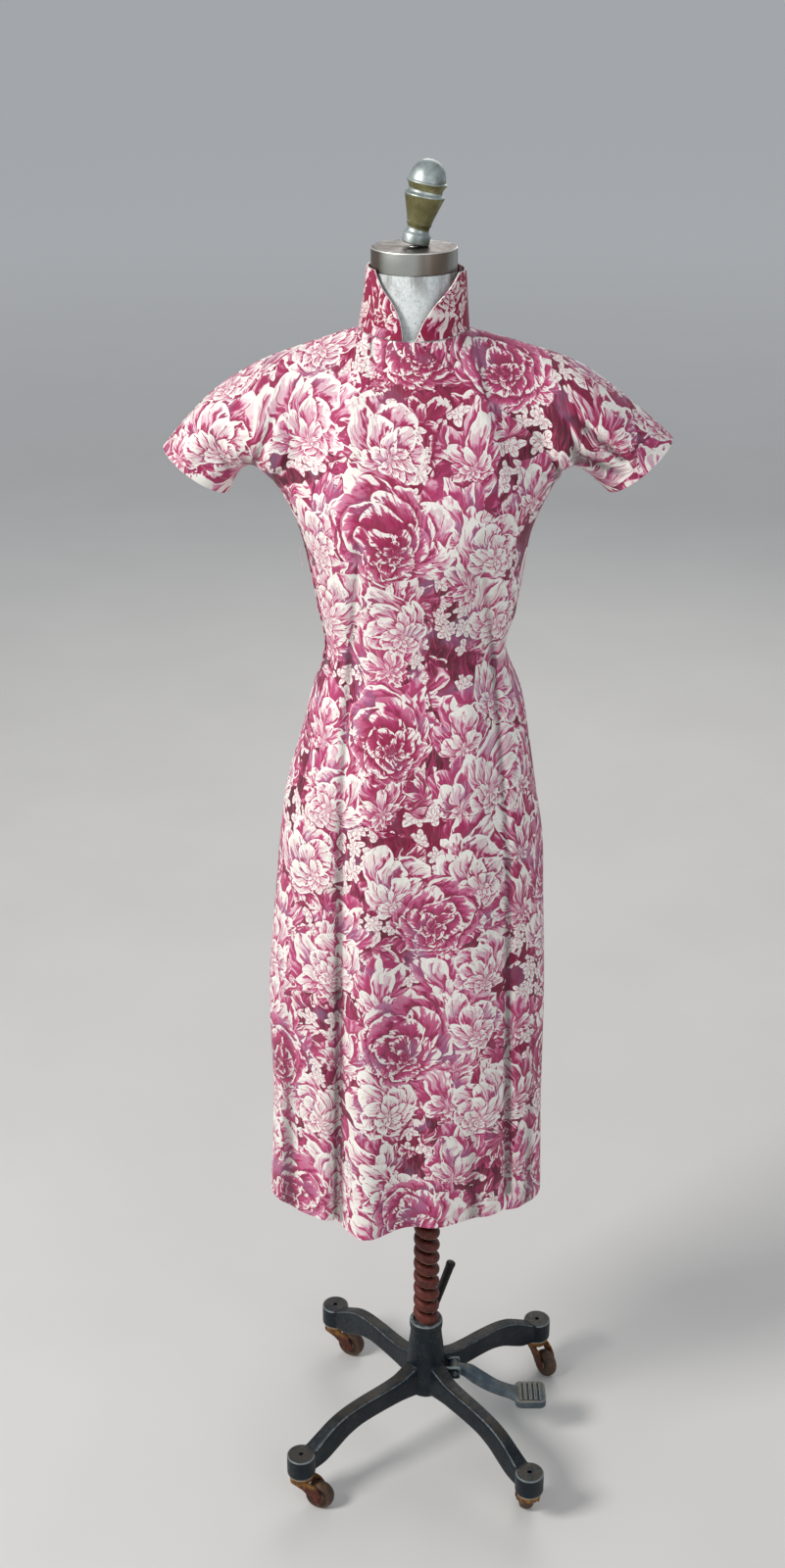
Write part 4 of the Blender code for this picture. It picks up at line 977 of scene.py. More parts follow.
def turned_edge(point):
    """The cloth is thicker inside the hem and the cuffs, where its edge is turned in."""
    rise = point.z - HEM_Z
    if rise < TURNING_WIDTH + TURNING_FADE:
        fade = TURNING_FADE / 2
        return CLOTH + TURNING * (1 - smoothstep(TURNING_WIDTH - fade, TURNING_WIDTH + fade, rise))
    if abs(point.x) > SLEEVE_X:
        (x0, z0), (x1, z1) = CUFF_ENDS[point.x > 0]
        inward = abs((point.x - x0) * (z1 - z0) - (point.z - z0) * (x1 - x0)) / hypot(x1 - x0, z1 - z0)
        return CLOTH + TURNING * (1 - smoothstep(TURNING_WIDTH - TURNING_FADE, TURNING_WIDTH, inward))
    return CLOTH


# %% [markdown]
# ## Sew up the panels
# The rectangle that each panel was cut from is listed: the smallest that holds the cut. The area
# printed for each is its cloth, what is left of the rectangle after cutting.

# %% Front, small front and back
PANEL_CUT = (0.66, 1.10)
INSET_CUT = (0.33, 0.24)

front_sheet = panel_sheet(FRONT)
cut_along_opening(front_sheet, 0.0)
inset_sheet = front_sheet.copy()
front_rim = keep_faces(front_sheet.copy(), lambda d: d < 0)
cut_along_opening(inset_sheet, OPENING_LAP)
keep_faces(inset_sheet, lambda d: d > -OPENING_LAP)


def under_the_lap(point):
    """How far the small front lies below the panel's surface, to pass under the main front."""
    return LAP_DEPTH * (1 - smoothstep(0.001, OPENING_RAMP, above_opening(point)))


def fit(piece, body, node):
    """Let a piece ride on a body, in place of a solid of the frame."""
    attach(piece, body)
    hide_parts(node)


dress_front = wall("dress_front_cloth", front_rim, (cotton_face, cotton_inside), turned_edge, seam_side=FRONT)
dress_inset = wall("dress_front_inset_cloth", inset_sheet, (cotton_inset, cotton_inside), turned_edge,
                   under_the_lap, FRONT)
dress_back = wall("dress_back_cloth", panel_sheet(BACK), (cotton_back, cotton_inside), turned_edge,
                  seam_side=BACK)
front_sheet.free()
for piece, node, cut in ((dress_front, "dress_front", PANEL_CUT),
                         (dress_inset, "dress_front_inset", INSET_CUT),
                         (dress_back, "dress_back", PANEL_CUT)):
    fit(piece, "form", node)
    print(piece.name, len(piece.data.polygons), "faces, cloth", round(half_area(piece), 4), "m2")

# %% [markdown]
# ## The stand collar
# The collar is a stiff band that stands open in a V. Its rows rise with the height, and each row
# ends where the table of its two front edges says. A bevel rounds the turned edge.

# %% Collar
COLLAR_WALL = 0.0022
COLLAR_TOP = {"shift": 0.003, "half_width": 0.050, "half_depth": 0.051, "z": 1.4945, "drop": 0.0035}
COLLAR_ROWS = 20
COLLAR_COLUMNS = 132
COLLAR_EDGES = [  # share of the height, left and right edge in degrees from the front
    (0.00, -12, 1), (0.30, -17, 9), (0.55, -28, 22), (0.78, -46, 41), (1.00, -60, 58),
]


def collar_point(share, turn):
    """A point of the collar's outer face, at a share of its height and a turn from the front."""
    side = FRONT if cos(turn) > 0 else BACK
    low_z = mix(NECK_Z["side"], neck_point(side, 0.0).z, cos(turn) ** 2) + 0.0005
    bend = share ** 0.85
    wave = 0.0007 * share * sin(3 * turn + 0.6) + 0.0005 * noise.noise(Vector((turn * 2.2, share * 3, 4.0)))
    width = mix(NECK_HALF_WIDTH, COLLAR_TOP["half_width"], bend) + wave
    depth = mix(NECK_HALF_DEPTH, COLLAR_TOP["half_depth"], bend) + wave
    middle = NECK_X + COLLAR_TOP["shift"] * bend
    top = COLLAR_TOP["z"] - COLLAR_TOP["drop"] * (1 + sin(turn)) / 2
    lift = 0.0006 * share * sin(2 * turn + 1.0)
    return Vector((middle + width * sin(turn), -depth * cos(turn), mix(low_z, top, share) + lift))


def collar_sheet():
    """The collar as an open sheet with its flat map."""
    bm = bmesh.new()
    map_u, map_v = bm.verts.layers.float.new("map_u"), bm.verts.layers.float.new("map_v")
    rows = []
    for k in range(COLLAR_ROWS + 1):
        share = k / COLLAR_ROWS
        left, right = smooth_row(COLLAR_EDGES, share)
        row = []
        for i in range(COLLAR_COLUMNS + 1):
            turn = radians(mix(right, left + 360, i / COLLAR_COLUMNS))
            vert = bm.verts.new(collar_point(share, turn))
            vert[map_u], vert[map_v] = turn * NECK_HALF_WIDTH, vert.co.z
            row.append(vert)
        rows.append(row)
    for low, high in zip(rows, rows[1:]):
        for i in range(COLLAR_COLUMNS):
            bm.faces.new((low[i], low[i + 1], high[i + 1], high[i]))
    return bm


collar = wall("dress_collar_cloth", collar_sheet(), (cotton_collar, cotton_collar, cotton_turning),
              lambda point: COLLAR_WALL, rim_slot=2)
soft_edge = collar.modifiers.new("turned edge", "BEVEL")
soft_edge.width = 0.0007
soft_edge.segments = 2
soft_edge.limit_method = "ANGLE"
soft_edge.angle_limit = radians(55)
fit(collar, "form", "dress_collar")
print("collar cloth", round(half_area(collar), 4), "m2")

# %% [markdown]
# ## The side closing
# Under the left arm of the picture a narrow strip covers the hooks. It follows the panels'
# own rows, moved out, and its edge is lumpy where hooks pull at it. One thread has come loose.

# %% Side strip
STRIP_HALF_WIDTH = 0.0065
STRIP_Z = (1.0765, 1.2275)
STRIP_ROWS = 60
STRIP_COLUMNS = 8
STRIP_WALL = 0.0012
STRIP_WAVES = 460
STRIP_PULL = 0.14
STRIP_LUMP = 0.0009


def strip_sheet():
    """The strip over the side closing, on the side seam."""
    bm = bmesh.new()
    map_u, map_v = bm.verts.layers.float.new("map_u"), bm.verts.layers.float.new("map_v")
    grid = []
    for k in range(STRIP_ROWS + 1):
        z = mix(*STRIP_Z, k / STRIP_ROWS)
        row = []
        for i in range(STRIP_COLUMNS + 1):
            offset = mix(-1.0, 1.0, i / STRIP_COLUMNS)
            side = FRONT if offset < 0 else BACK
            depth = body_row(z)[2 if side == FRONT else 3]
            pull = 1 + STRIP_PULL * sin(z * STRIP_WAVES) * abs(offset)
            across = -1 + (abs(offset) * STRIP_HALF_WIDTH * pull / depth) ** 1.02 * 2 / pi
            vert = bm.verts.new(torso_point(side, across, z))
            vert.co.x -= STRIP_LUMP * (1 - offset**2) * max(sin(z * STRIP_WAVES + 1.2), 0.0)
            vert[map_u], vert[map_v] = offset * STRIP_HALF_WIDTH, z
            row.append(vert)
        grid.append(row)
    for below, above in zip(grid, grid[1:]):
        for i in range(STRIP_COLUMNS):
            bm.faces.new((below[i + 1], below[i], above[i], above[i + 1]))
    return bm


strip = wall("dress_side_strip_cloth", strip_sheet(), (cotton_strip, cotton_strip),
             lambda point: STRIP_WALL, lambda point: -(STRIP_WALL + GAP))
fit(strip, "form", "dress_side_placket")
print("side strip cloth", round(half_area(strip), 5), "m2")

# %% [markdown]
# ## Stitches, laid by Geometry Nodes
# A sewing machine puts the same stitch at the same pitch along a line, which is what Geometry
# Nodes do well. The tree turns a line of edges into a curve, drops a short thread at each step,
# turns it along the line, and makes the instances real, so that the result exports.

# %% The stitch tree
def stitch_group():
    """Short threads at an even pitch along the edges of a mesh."""
    sockets = {"Line": "Geometry", "Pitch": 0.003,
               "Length": 0.0022, "Thread": 0.00022,
               "Finish": "Material"}
    group, t, given, out = new_group("machine_stitches", "GeometryNodeTree", sockets,
                                     {"Stitches": "Geometry"})
    line = t.node("GeometryNodeMeshToCurve", {0: given["Line"]}).outputs[0]
    even = t.node("GeometryNodeResampleCurve", {"Curve": line, "Length": given["Pitch"]},
                  mode="LENGTH").outputs[0]
    half = t.times(given["Length"], 0.5)
    core = t.node("GeometryNodeCurvePrimitiveLine", {"Start": t.combine(0.0, 0.0, t.times(half, -1.0)),
                                                     "End": t.combine(0.0, 0.0, half)}).outputs[0]
    ring = t.node("GeometryNodeCurvePrimitiveCircle", {"Resolution": 6, "Radius": given["Thread"]}).outputs[0]
    thread = t.sweep(core, ring)
    along = t.node("GeometryNodeInputTangent").outputs[0]
    turn = t.node("FunctionNodeAlignRotationToVector", {"Vector": along}, axis="Z").outputs[0]
    placed = t.node("GeometryNodeInstanceOnPoints", {"Points": even, "Instance": thread, "Rotation": turn})
    t.feed(out["Stitches"], t.real(placed.outputs[0], given["Finish"]))
    return group


def apply_nodes(name, mesh, group, values):
    """Run a node group on a mesh and keep the result as a plain mesh object."""
    carrier = linked(name + "_carrier", mesh)
    modifier = carrier.modifiers.new("nodes", "NODES")
    modifier.node_group = group
    for item in group.interface.items_tree:
        if item.in_out == "INPUT" and item.name in values:
            modifier[item.identifier] = values[item.name]
    bpy.context.view_layer.update()
    graph = bpy.context.evaluated_depsgraph_get()
    made = bpy.data.meshes.new_from_object(carrier.evaluated_get(graph))
    bpy.data.objects.remove(carrier, do_unlink=True)
    made.name = name
    return linked(name, made)


def edge_lines(name, lines):
    """A mesh that holds only edges, one run for each list of points."""
    points, edges = [], []
    for line in lines:
        start = len(points)
        points += line
        edges += [(start + i, start + i + 1) for i in range(len(line) - 1)]
    mesh = bpy.data.meshes.new(name)
    mesh.from_pydata(points, edges, [])
    return mesh


stitches = stitch_group()
print("stitch tree:", len(stitches.nodes), "nodes")

# %% Sew the hem, the cuffs and the opening
STITCH_RISE = 0.00015
HEM_SPAN = (-0.975, 0.975)
HEM_STEPS = 240
HEM_STITCH = 0.0135
CUFF_SPAN = (0.02, 0.98)
CUFF_STEPS = 60
CUFF_STITCH = 1 + SLEEVE_SPAN - 0.08


def proud(points):
    """Lift a line of points on a panel off the cloth by half a thread, away from the body."""
    lifted = []
    for point, (side, across) in points:
        out = Vector((sin(across * pi / 2) * 0.8, side * max(cos(across * pi / 2), 0.2), 0.0)).normalized()
        lifted.append(point + out * STITCH_RISE)
    return lifted


def hem_line(side, rise):
    """A line of places at a rise above the hem, from seam to seam."""
    places = [mix(*HEM_SPAN, i / HEM_STEPS) for i in range(HEM_STEPS + 1)]
    return proud([(torso_point(side, across, HEM_Z + rise), (side, across)) for across in places])


def cuff_line(side, across):
    """A line round half a cuff."""
    ups = [mix(*CUFF_SPAN, i / CUFF_STEPS) for i in range(CUFF_STEPS + 1)]
    return [upper_point(side, across, up) + Vector((0.0, side * STITCH_RISE, 0.0)) for up in ups]


thread_mat, t = new_finish("sewing_thread", roughness=0.75, sheen_weight=0.3)
colour = t.ramp(t.noise(t.place(), 90.0), [(0.3, rgb(196, 150, 160)), (0.7, rgb(226, 200, 200))])
t.shade("Base Color", colour)

seams = [hem_line(side, HEM_STITCH) for side in (FRONT, BACK)]
seams += [cuff_line(side, turn * CUFF_STITCH) for side in (FRONT, BACK) for turn in (-1, 1)]
stitching = apply_nodes("dress_stitching", edge_lines("seam_lines", seams), stitches,
                        {"Pitch": 0.0034, "Length": 0.0023, "Thread": 0.00024, "Finish": thread_mat})
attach(stitching, "form")
print("stitches:", len(stitching.data.polygons) // 8)

# %% The loose thread
LOOSE_THREAD = [  # x, y, z of the thread that has come out of the side strip
    (-0.1196, -0.0185, 1.2065), (-0.1222, -0.020, 1.2058), (-0.124, -0.0212, 1.203),
    (-0.1243, -0.0216, 1.199), (-0.123, -0.022, 1.195), (-0.1216, -0.0226, 1.1915),
    (-0.1212, -0.0238, 1.188), (-0.122, -0.0252, 1.185),
]
THREAD_RADIUS = 0.00025
THREAD_SIDES = 6
THREAD_STEPS = 5


def full_turn(count, shift=0.0):
    """Angles at even steps all the way round."""
    return [2 * pi * (i + shift) / count for i in range(count)]


def finished_mesh(bm, name):
    """Turn a bmesh into a plain mesh."""
    mesh = bpy.data.meshes.new(name)
    bm.to_mesh(mesh)
    bm.free()
    return mesh


table = [(i, *point) for i, point in enumerate(LOOSE_THREAD)]
path = [Vector(smooth_row(table, i / THREAD_STEPS)) for i in range((len(table) - 1) * THREAD_STEPS + 1)]
bm = bmesh.new()
rows = []
for before, point, after in zip(path[:1] + path, path, path[1:] + path[-1:]):
    across = (after - before).cross(Vector((0, 1, 0))).normalized()
    other = (after - before).cross(across).normalized()
    rows.append([bm.verts.new(point + THREAD_RADIUS * (across * cos(turn) + other * sin(turn)))
                 for turn in full_turn(THREAD_SIDES)])
for low, high in zip(rows, rows[1:]):
    for i in range(THREAD_SIDES):
        bm.faces.new((low[i], low[i - 1], high[i - 1], high[i]))
bm.faces.new(rows[0])
bm.faces.new(list(reversed(rows[-1])))
bmesh.ops.recalc_face_normals(bm, faces=bm.faces)
mesh = finished_mesh(bm, "dress_loose_thread")
mesh.shade_smooth()
mesh.materials.append(thread_mat)
loose = linked("dress_loose_thread", mesh)
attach(loose, "form")
print("loose thread:", len(path), "points")

# %% [markdown]
# ## The form
# Under the dress is a stiff shell covered in pale linen with dark flecks. Only its neck shows,
# with a little of its underside, but it is whole all the same. The body is a loft through the
# same sections as the solid, made smooth by more sections between them.

# %% Turned shapes and lofts
def keep_object(name, mesh, *finishes, smooth_angle=40):
    """Link a finished mesh as a piece, shaded smooth with its sharp edges kept."""
    mesh.name = name
    mesh.materials.clear()
    for finish in finishes:
        mesh.materials.append(finish)
    mesh.shade_smooth()
    mesh.set_sharp_from_angle(angle=radians(smooth_angle))
    return linked(name, mesh)


def turned_mesh(profile, segments=96, place=None, closed=False):
    """A turned shape round Z from (radius, height) down its outer side."""
    bm = bmesh.new()
    rings = []
    for radius, height in profile:
        if radius < 1e-6:
            rings.append([bm.verts.new((0.0, 0.0, height))])
        else:
            rings.append([bm.verts.new((radius * cos(turn), radius * sin(turn), height))
                          for turn in full_turn(segments)])
    pairs = list(zip(rings, rings[1:]))
    if closed:
        pairs.append((rings[-1], rings[0]))
    for upper, lower in pairs:
        for i in range(segments):
            j = (i + 1) % segments
            corners = [upper[i % len(upper)], lower[i % len(lower)]]
            corners += [lower[j % len(lower)], upper[j % len(upper)]]
            corners = list(dict.fromkeys(corners))
            if len(corners) > 2:
                bm.faces.new(corners)
    bmesh.ops.recalc_face_normals(bm, faces=bm.faces)
    if place is not None:
        bm.transform(place)
    return finished_mesh(bm, "turned")


def rounded(profile, radius, steps=4):
    """A profile with its inner corners rounded by short arcs."""
    points = [Vector(p) for p in profile]
    soft = [points[0]]
    for before, corner, after in zip(points, points[1:], points[2:]):
        into, out = before - corner, after - corner
        cut = min(radius, into.length * 0.45, out.length * 0.45)
        start, end = corner + into.normalized() * cut, corner + out.normalized() * cut
        for i in range(steps + 1):
            t = i / steps
            soft.append(start * (1 - t) ** 2 + corner * 2 * t * (1 - t) + end * t**2)
    return [tuple(p) for p in soft + [points[-1]]]


def loft_mesh(rings):
    """A closed solid through rings of points that run the same way round."""
    bm = bmesh.new()
    rows = [[bm.verts.new(p) for p in ring] for ring in rings]
    count = len(rows[0])
    for low, high in zip(rows, rows[1:]):
        for i in range(count):
            j = (i + 1) % count
            bm.faces.new((low[i], low[j], high[j], high[i]))
    bm.faces.new(list(reversed(rows[0])))
    bm.faces.new(rows[-1])
    bmesh.ops.recalc_face_normals(bm, faces=bm.faces)
    return finished_mesh(bm, "loft")


# %% Linen
linen, t = new_finish("grey_linen", roughness=0.86, sheen_weight=0.12, specular_ior_level=0.25)
place = t.place()
slubs = t.noise(t.vector("MULTIPLY", place, (430.0, 430.0, 250.0)), 1.0, 3.0, 0.6)
flecks = t.noise(place, 640.0, 2.0, 0.7)
stain = t.noise(t.vector("MULTIPLY", place, (70.0, 70.0, 16.0)), 1.0, 3.0)
colour = t.ramp(slubs, [(0.30, rgb(192, 198, 198)), (0.55, rgb(212, 217, 216)), (0.80, rgb(224, 228, 226))])
colour = t.colour(t.between(flecks, 0.60, 0.70, 0.0, 0.75), colour, (*rgb(84, 86, 86), 1.0))
height_fade = t.between(t.split(place)[2], 1.462, 1.489, 0.0, 1.0)
grime = t.times(t.between(stain, 0.42, 0.58), height_fade)
colour = t.colour(t.times(grime, 0.62), colour, (*rgb(92, 90, 84), 1.0))
t.shade("Base Color", colour)
t.shade("Normal", t.bump(slubs, 0.35, 0.0006))

# %% Form body
FORM_BOTTOM = 0.700
NECK_TOP = 1.4897
FORM_RING = 96
FORM = [  # height, middle x, half width, half depth in front, half depth at the back, squareness
    (0.700, -0.009, 0.132, 0.082, 0.094, 2.1), (0.800, -0.007, 0.141, 0.089, 0.105, 2.1),
    (0.867, -0.0055, 0.138, 0.092, 0.109, 2.1), (0.925, -0.006, 0.130, 0.090, 0.107, 2.1),
    (0.990, -0.002, 0.116, 0.085, 0.097, 2.1), (1.040, 0.000, 0.104, 0.078, 0.082, 2.1),
    (1.090, -0.001, 0.088, 0.073, 0.070, 2.1), (1.135, 0.0005, 0.095, 0.082, 0.071, 2.1),
    (1.180, 0.000, 0.104, 0.094, 0.075, 2.1), (1.228, -0.002, 0.114, 0.102, 0.080, 2.1),
    (1.272, -0.002, 0.127, 0.100, 0.082, 2.1), (1.320, -0.002, 0.130, 0.090, 0.078, 2.1),
    (1.360, -0.003, 0.117, 0.076, 0.070, 2.0), (1.390, -0.004, 0.092, 0.063, 0.062, 2.0),
    (1.412, -0.005, 0.066, 0.056, 0.056, 2.0),
]
FORM_FOOT = [  # rise and inset of the rounded lower edge
    (0.0, 0.004), (0.0012, 0.001),
]
FORM_NECK = [  # height, half width and half depth
    (1.447, 0.0465), (1.460, 0.045), (1.476, 0.0434), (1.4897, 0.0425),
]


def signed_power(value, power):
    """A power that keeps the sign, which squares off a circle when it is below 1."""
    return abs(value) ** power * (1 if value > 0 else -1)


def oval(z, middle, width, front, back, square):
    """One section of the form."""
    ring = []
    for turn in full_turn(FORM_RING):
        depth = back if sin(turn) > 0 else front
        x, y = signed_power(cos(turn), 2 / square), signed_power(sin(turn), 2 / square)
        ring.append((middle + width * x, depth * y, z))
    return ring


def neck_ring(inset, drop):
    """A ring that follows the neckline, inside it and below it; in front it leaves room for the lap."""
    ring = []
    for turn in full_turn(FORM_RING):
        middle, lap = (NECK_Z["back"], 0.0) if sin(turn) > 0 else (NECK_Z["front"], LAP_DEPTH)
        z = mix(NECK_Z["side"], middle, sin(turn) ** 2) - drop
        x = NECK_X + (NECK_HALF_WIDTH - inset) * cos(turn)
        depth = NECK_HALF_DEPTH - inset - lap * min(1.0, 2 * sin(turn) ** 2)
        ring.append((x, depth * sin(turn), z))
    return ring


sections = []
for lower, upper in zip(FORM, FORM[1:]):
    for step in range(5):
        z = mix(lower[0], upper[0], step / 5)
        sections.append(oval(z, *smooth_row(FORM, z)))
height, middle, *sizes, square = FORM[0]
sections[0:1] = [oval(height + rise, middle, *(size - inset for size in sizes), square)
                 for rise, inset in FORM_FOOT]
sections.append(oval(*FORM[-1]))
sections += [neck_ring(0.0022, 0.0016), neck_ring(0.0075, -0.0008)]
for z, half in FORM_NECK:
    sections.append([(NECK_X + half * cos(turn), half * sin(turn), z) for turn in full_turn(FORM_RING)])
form = keep_object("form_body_linen", loft_mesh(sections), linen, smooth_angle=50)
fit(form, "form", "form_body")
print("form:", len(form.data.polygons), "faces")

# %% [markdown]
# ## Neck cap and finial
# Both are turned on a lathe, so each is a profile spun round an axis. The cap is brushed steel:
# the brush leaves fine rings, so its grain is noise that hardly changes round the axis. Soft upright
# bands on its side and a darker top are painted reflection, and a pale line on its edge is a painted
# highlight. The finial was cast, sprayed silver, and knocked askew; it leans on a thin washer.
# Its faces that look down are a darker olive: painted shade under its lips.

# %% Brushed steel and silver paint
steel, t = new_finish("brushed_steel", metallic=1.0, anisotropic=0.4)
place = t.place()
lines = t.noise(t.vector("MULTIPLY", place, (60.0, 60.0, 2600.0)), 1.0, 2.0, 0.6)
# Painted reflections: soft upright bands of pale grey and brown round the cap's side.
reflection_bands = t.noise(t.vector("MULTIPLY", place, (34.0, 34.0, 2.0)), 1.0, 1.0)
facing = t.split(t.facing())[2]
side = t.colour(t.between(reflection_bands, 0.40, 0.60), (*rgb(180, 182, 176), 1.0), (*rgb(116, 104, 94), 1.0))
# Painted reflection: the top, which faces up, is a darker brown-grey.
shade = t.colour(t.between(facing, 0.80, 0.98), side, (*rgb(84, 76, 70), 1.0))
# Painted highlight: a pale line on the rounded edge between the top and the side.
rub_and_highlight = t.times(t.between(facing, 0.10, 0.30), t.between(facing, 0.95, 0.75))
t.shade("Base Color", t.colour(rub_and_highlight, shade, (*rgb(236, 234, 228), 1.0)))
t.shade("Roughness", t.between(lines, 0.3, 0.7, 0.36, 0.52, "LINEAR"))
t.shade("Normal", t.bump(lines, 0.30, 0.0003))

FINIAL_LEAN = radians(11)
FINIAL_FOOT = 0.013
CAP_HEIGHT = 0.0225
finial_base = NECK_TOP + GAP + CAP_HEIGHT + FINIAL_FOOT * sin(FINIAL_LEAN) + GAP

silver, t = new_finish("silver_paint", metallic=0.72)
place = t.place()
cloud = t.noise(place, 70.0, 4.0, 0.6)
grain = t.noise(place, 900.0, 2.0)
shade = t.ramp(cloud, [(0.30, rgb(132, 140, 138)), (0.52, rgb(170, 180, 178)), (0.75, rgb(206, 214, 212))])
axis = (sin(FINIAL_LEAN), 0.0, cos(FINIAL_LEAN))
from_base = t.vector("SUBTRACT", place, (NECK_X + 0.001, 0.0, finial_base))
along = t.vector("DOT_PRODUCT", from_base, axis, output=1)
# Painted shade: faces that look down take a darker olive, most of all above the foot.
olive = t.ramp(cloud, [(0.30, rgb(96, 92, 54)), (0.55, rgb(126, 120, 74)), (0.78, rgb(160, 156, 118))])
low = t.between(t.split(t.facing())[2], 0.06, -0.10)
painted_underside_shade = t.times(low, t.between(along, 0.0085, 0.0125, 0.25, 0.95))
shade = t.colour(painted_underside_shade, shade, olive)
t.shade("Base Color", shade)
t.shade("Roughness", t.between(cloud, 0.3, 0.7, 0.50, 0.38, "LINEAR"))
t.shade("Normal", t.bump(grain, 0.22, 0.0004, t.bump(cloud, 0.25, 0.0012)))

# %% Cap and finial
CAP_RADIUS = 0.0435
CAP_WASHER = (0.006, 0.0008)

cap_bottom = NECK_TOP + GAP
cap_top = cap_bottom + CAP_HEIGHT
washer_radius, washer_height = CAP_WASHER
cap_profile = [
    (0.0, cap_top + washer_height), (washer_radius, cap_top + washer_height), (washer_radius, cap_top),
    (CAP_RADIUS, cap_top), (CAP_RADIUS, cap_bottom), (0.0, cap_bottom),
]
cap = keep_object("form_cap_steel", turned_mesh(rounded(cap_profile, 0.0016), 128,
                                                Matrix.Translation((NECK_X, 0, 0))), steel, smooth_angle=55)
fit(cap, "form", "form_cap")

finial_profile = [
    (0.0, 0.0822), (0.004, 0.0818), (0.0078, 0.0804), (0.011, 0.0784), (0.0138, 0.0756),
    (0.0158, 0.0722), (0.0173, 0.0684), (0.0182, 0.0645), (0.0185, 0.0616), (0.020, 0.0608),
    (0.0203, 0.0602), (0.0203, 0.0594), (0.020, 0.0588), (0.0186, 0.057), (0.0176, 0.0547),
    (0.017, 0.0533), (0.0169, 0.052), (0.0172, 0.0507), (0.018, 0.0493), (0.0198, 0.0486),
    (0.0202, 0.0478), (0.0202, 0.0466), (0.0193, 0.044), (0.0178, 0.0392), (0.0162, 0.034),
    (0.0148, 0.0295), (0.0136, 0.0255), (0.0129, 0.0224), (0.0126, 0.0216), (0.0126, 0.019),
    (0.0121, 0.0182), (0.0114, 0.0166), (0.0111, 0.015), (0.0112, 0.0135), (0.0116, 0.0118),
    (0.0128, 0.0104), (0.0137, 0.0096), (0.014, 0.0084), (0.014, 0.0016), (0.0138, 0.0006),
    (FINIAL_FOOT, 0.0), (0.0, 0.0),
]
finial_place = (Matrix.Translation((NECK_X + 0.001, 0.0, finial_base))
                @ Matrix.Rotation(FINIAL_LEAN, 4, "Y"))
finial = keep_object("form_finial_silver", turned_mesh(finial_profile, 72, finial_place), silver,
                     smooth_angle=55)
fit(finial, "form", "form_finial")
print("cap and finial top:", round(max(v.co.z for v in finial.data.vertices), 4))

# %% [markdown]
# ## Rod and spring
# The form stands on a thin rod that slides in the hub, and the spring round it carries the weight.
# A coil is a rule, not a drawing: a spiral with a radius, a height and a number of turns, so
# Geometry Nodes make it. It follows both bodies, so it stretches when the form is raised.

# %% Rust
POST_X = 0.016
# The slope of the painted highlight on the spring's coils, 48 degrees below outward.
HIGHLIGHT_SLOPE = (cos(radians(48)), sin(radians(48)))


def rusty(name, fresh, dark, pale, rough=0.82, coil_highlight=False, low_dark=None):
    """Rusted steel: dark scale and fresh bloom; on a spring a painted highlight along each coil's lower outer
    side, and on a caster a colour that darkens towards the bottom and a painted highlight round the cup's
    rim.
    """
    mat, t = new_finish(name, metallic=0.25)
    place = t.place()
    bloom = t.noise(place, 160.0, 4.0, 0.65)
    pits = t.noise(place, 900.0, 3.0, 0.6)
    colour = t.ramp(bloom, [(0.32, dark), (0.52, fresh), (0.72, pale)])
    if low_dark:
        # The caster's colour darkens towards the bottom.
        darker_below = t.ramp(bloom, [(0.32, rgb(46, 22, 18)), (0.55, rgb(88, 42, 28)), (0.78, rgb(140, 82, 52))])
        colour = t.colour(t.between(t.split(place)[2], *low_dark), darker_below, colour)
        # Painted highlight: a pale line round the swivel cup's rim, broken up by the rust.
        rim = t.times(t.between(t.split(place)[2], 0.0446, 0.0452), t.between(bloom, 0.36, 0.50, 0.3, 0.8))
        colour = t.colour(rim, colour, (*rgb(176, 160, 130), 1.0))
    if coil_highlight:
        # Painted highlight: a pale line along each coil's lower outer side, broken up by the rust.
        facing = t.facing()
        level = t.vector("MULTIPLY", t.vector("SUBTRACT", place, (POST_X, 0.0, 0.0)), (1, 1, 0))
        away = t.vector("NORMALIZE", level)
        outward = t.vector("DOT_PRODUCT", facing, away, output=1)
        down = t.times(t.split(facing)[2], -HIGHLIGHT_SLOPE[1])
        band = t.math("MULTIPLY_ADD", outward, HIGHLIGHT_SLOPE[0], down)
        worn_and_highlight = t.times(t.between(band, 0.925, 0.975), t.between(bloom, 0.34, 0.50))
        colour = t.colour(t.times(worn_and_highlight, 0.75), colour, (*rgb(196, 158, 138), 1.0))
    t.shade("Base Color", colour)
    t.shade("Roughness", t.between(bloom, 0.3, 0.7, rough - 0.18, rough, "LINEAR"))
    t.shade("Normal", t.bump(pits, 0.35, 0.0006))
    return mat


rod_steel = rusty("steel_rod", rgb(74, 44, 34), rgb(42, 25, 20), rgb(104, 74, 58), 0.62)
spring_rust = rusty("rusty_steel", rgb(92, 34, 24), rgb(52, 20, 16), rgb(116, 56, 42), 0.62, coil_highlight=True)
caster_rust = rusty("rusty_caster", rgb(122, 80, 30), rgb(70, 42, 20), rgb(164, 122, 60),
                    low_dark=(0.030, 0.037))

# %% Rod
ROD_RADIUS = 0.006
ROD_BOTTOM = 0.092
ROD_COLLAR_Z = 0.452

flange = FORM_BOTTOM - GAP
collar_top = ROD_COLLAR_Z + 0.014
rod_profile = rounded([
    (0.0, flange), (0.032, flange), (0.032, flange - 0.005), (0.014, flange - 0.008), (0.012, flange - 0.030),
    (ROD_RADIUS, flange - 0.034), (ROD_RADIUS, collar_top), (0.0165, collar_top), (0.0165, ROD_COLLAR_Z),
    (ROD_RADIUS, ROD_COLLAR_Z), (ROD_RADIUS, ROD_BOTTOM), (0.0, ROD_BOTTOM)], 0.0012)
rod_mesh = turned_mesh(rod_profile, 64, Matrix.Translation((POST_X, 0, 0)))
rod = keep_object("stand_rod_steel", rod_mesh, rod_steel)
fit(rod, "form", "stand_rod")
print("rod:", round(flange - ROD_BOTTOM, 3), "m")

# %% Spring
SPRING_RADIUS = 0.0115
WIRE_RADIUS = 0.0049
WIRE_TALL = 1.38
SPRING_PITCH = 0.0187
CUP_FLOOR = 0.1765
SEED_LINE = [Vector(), Vector((0, 0, 0.01))]


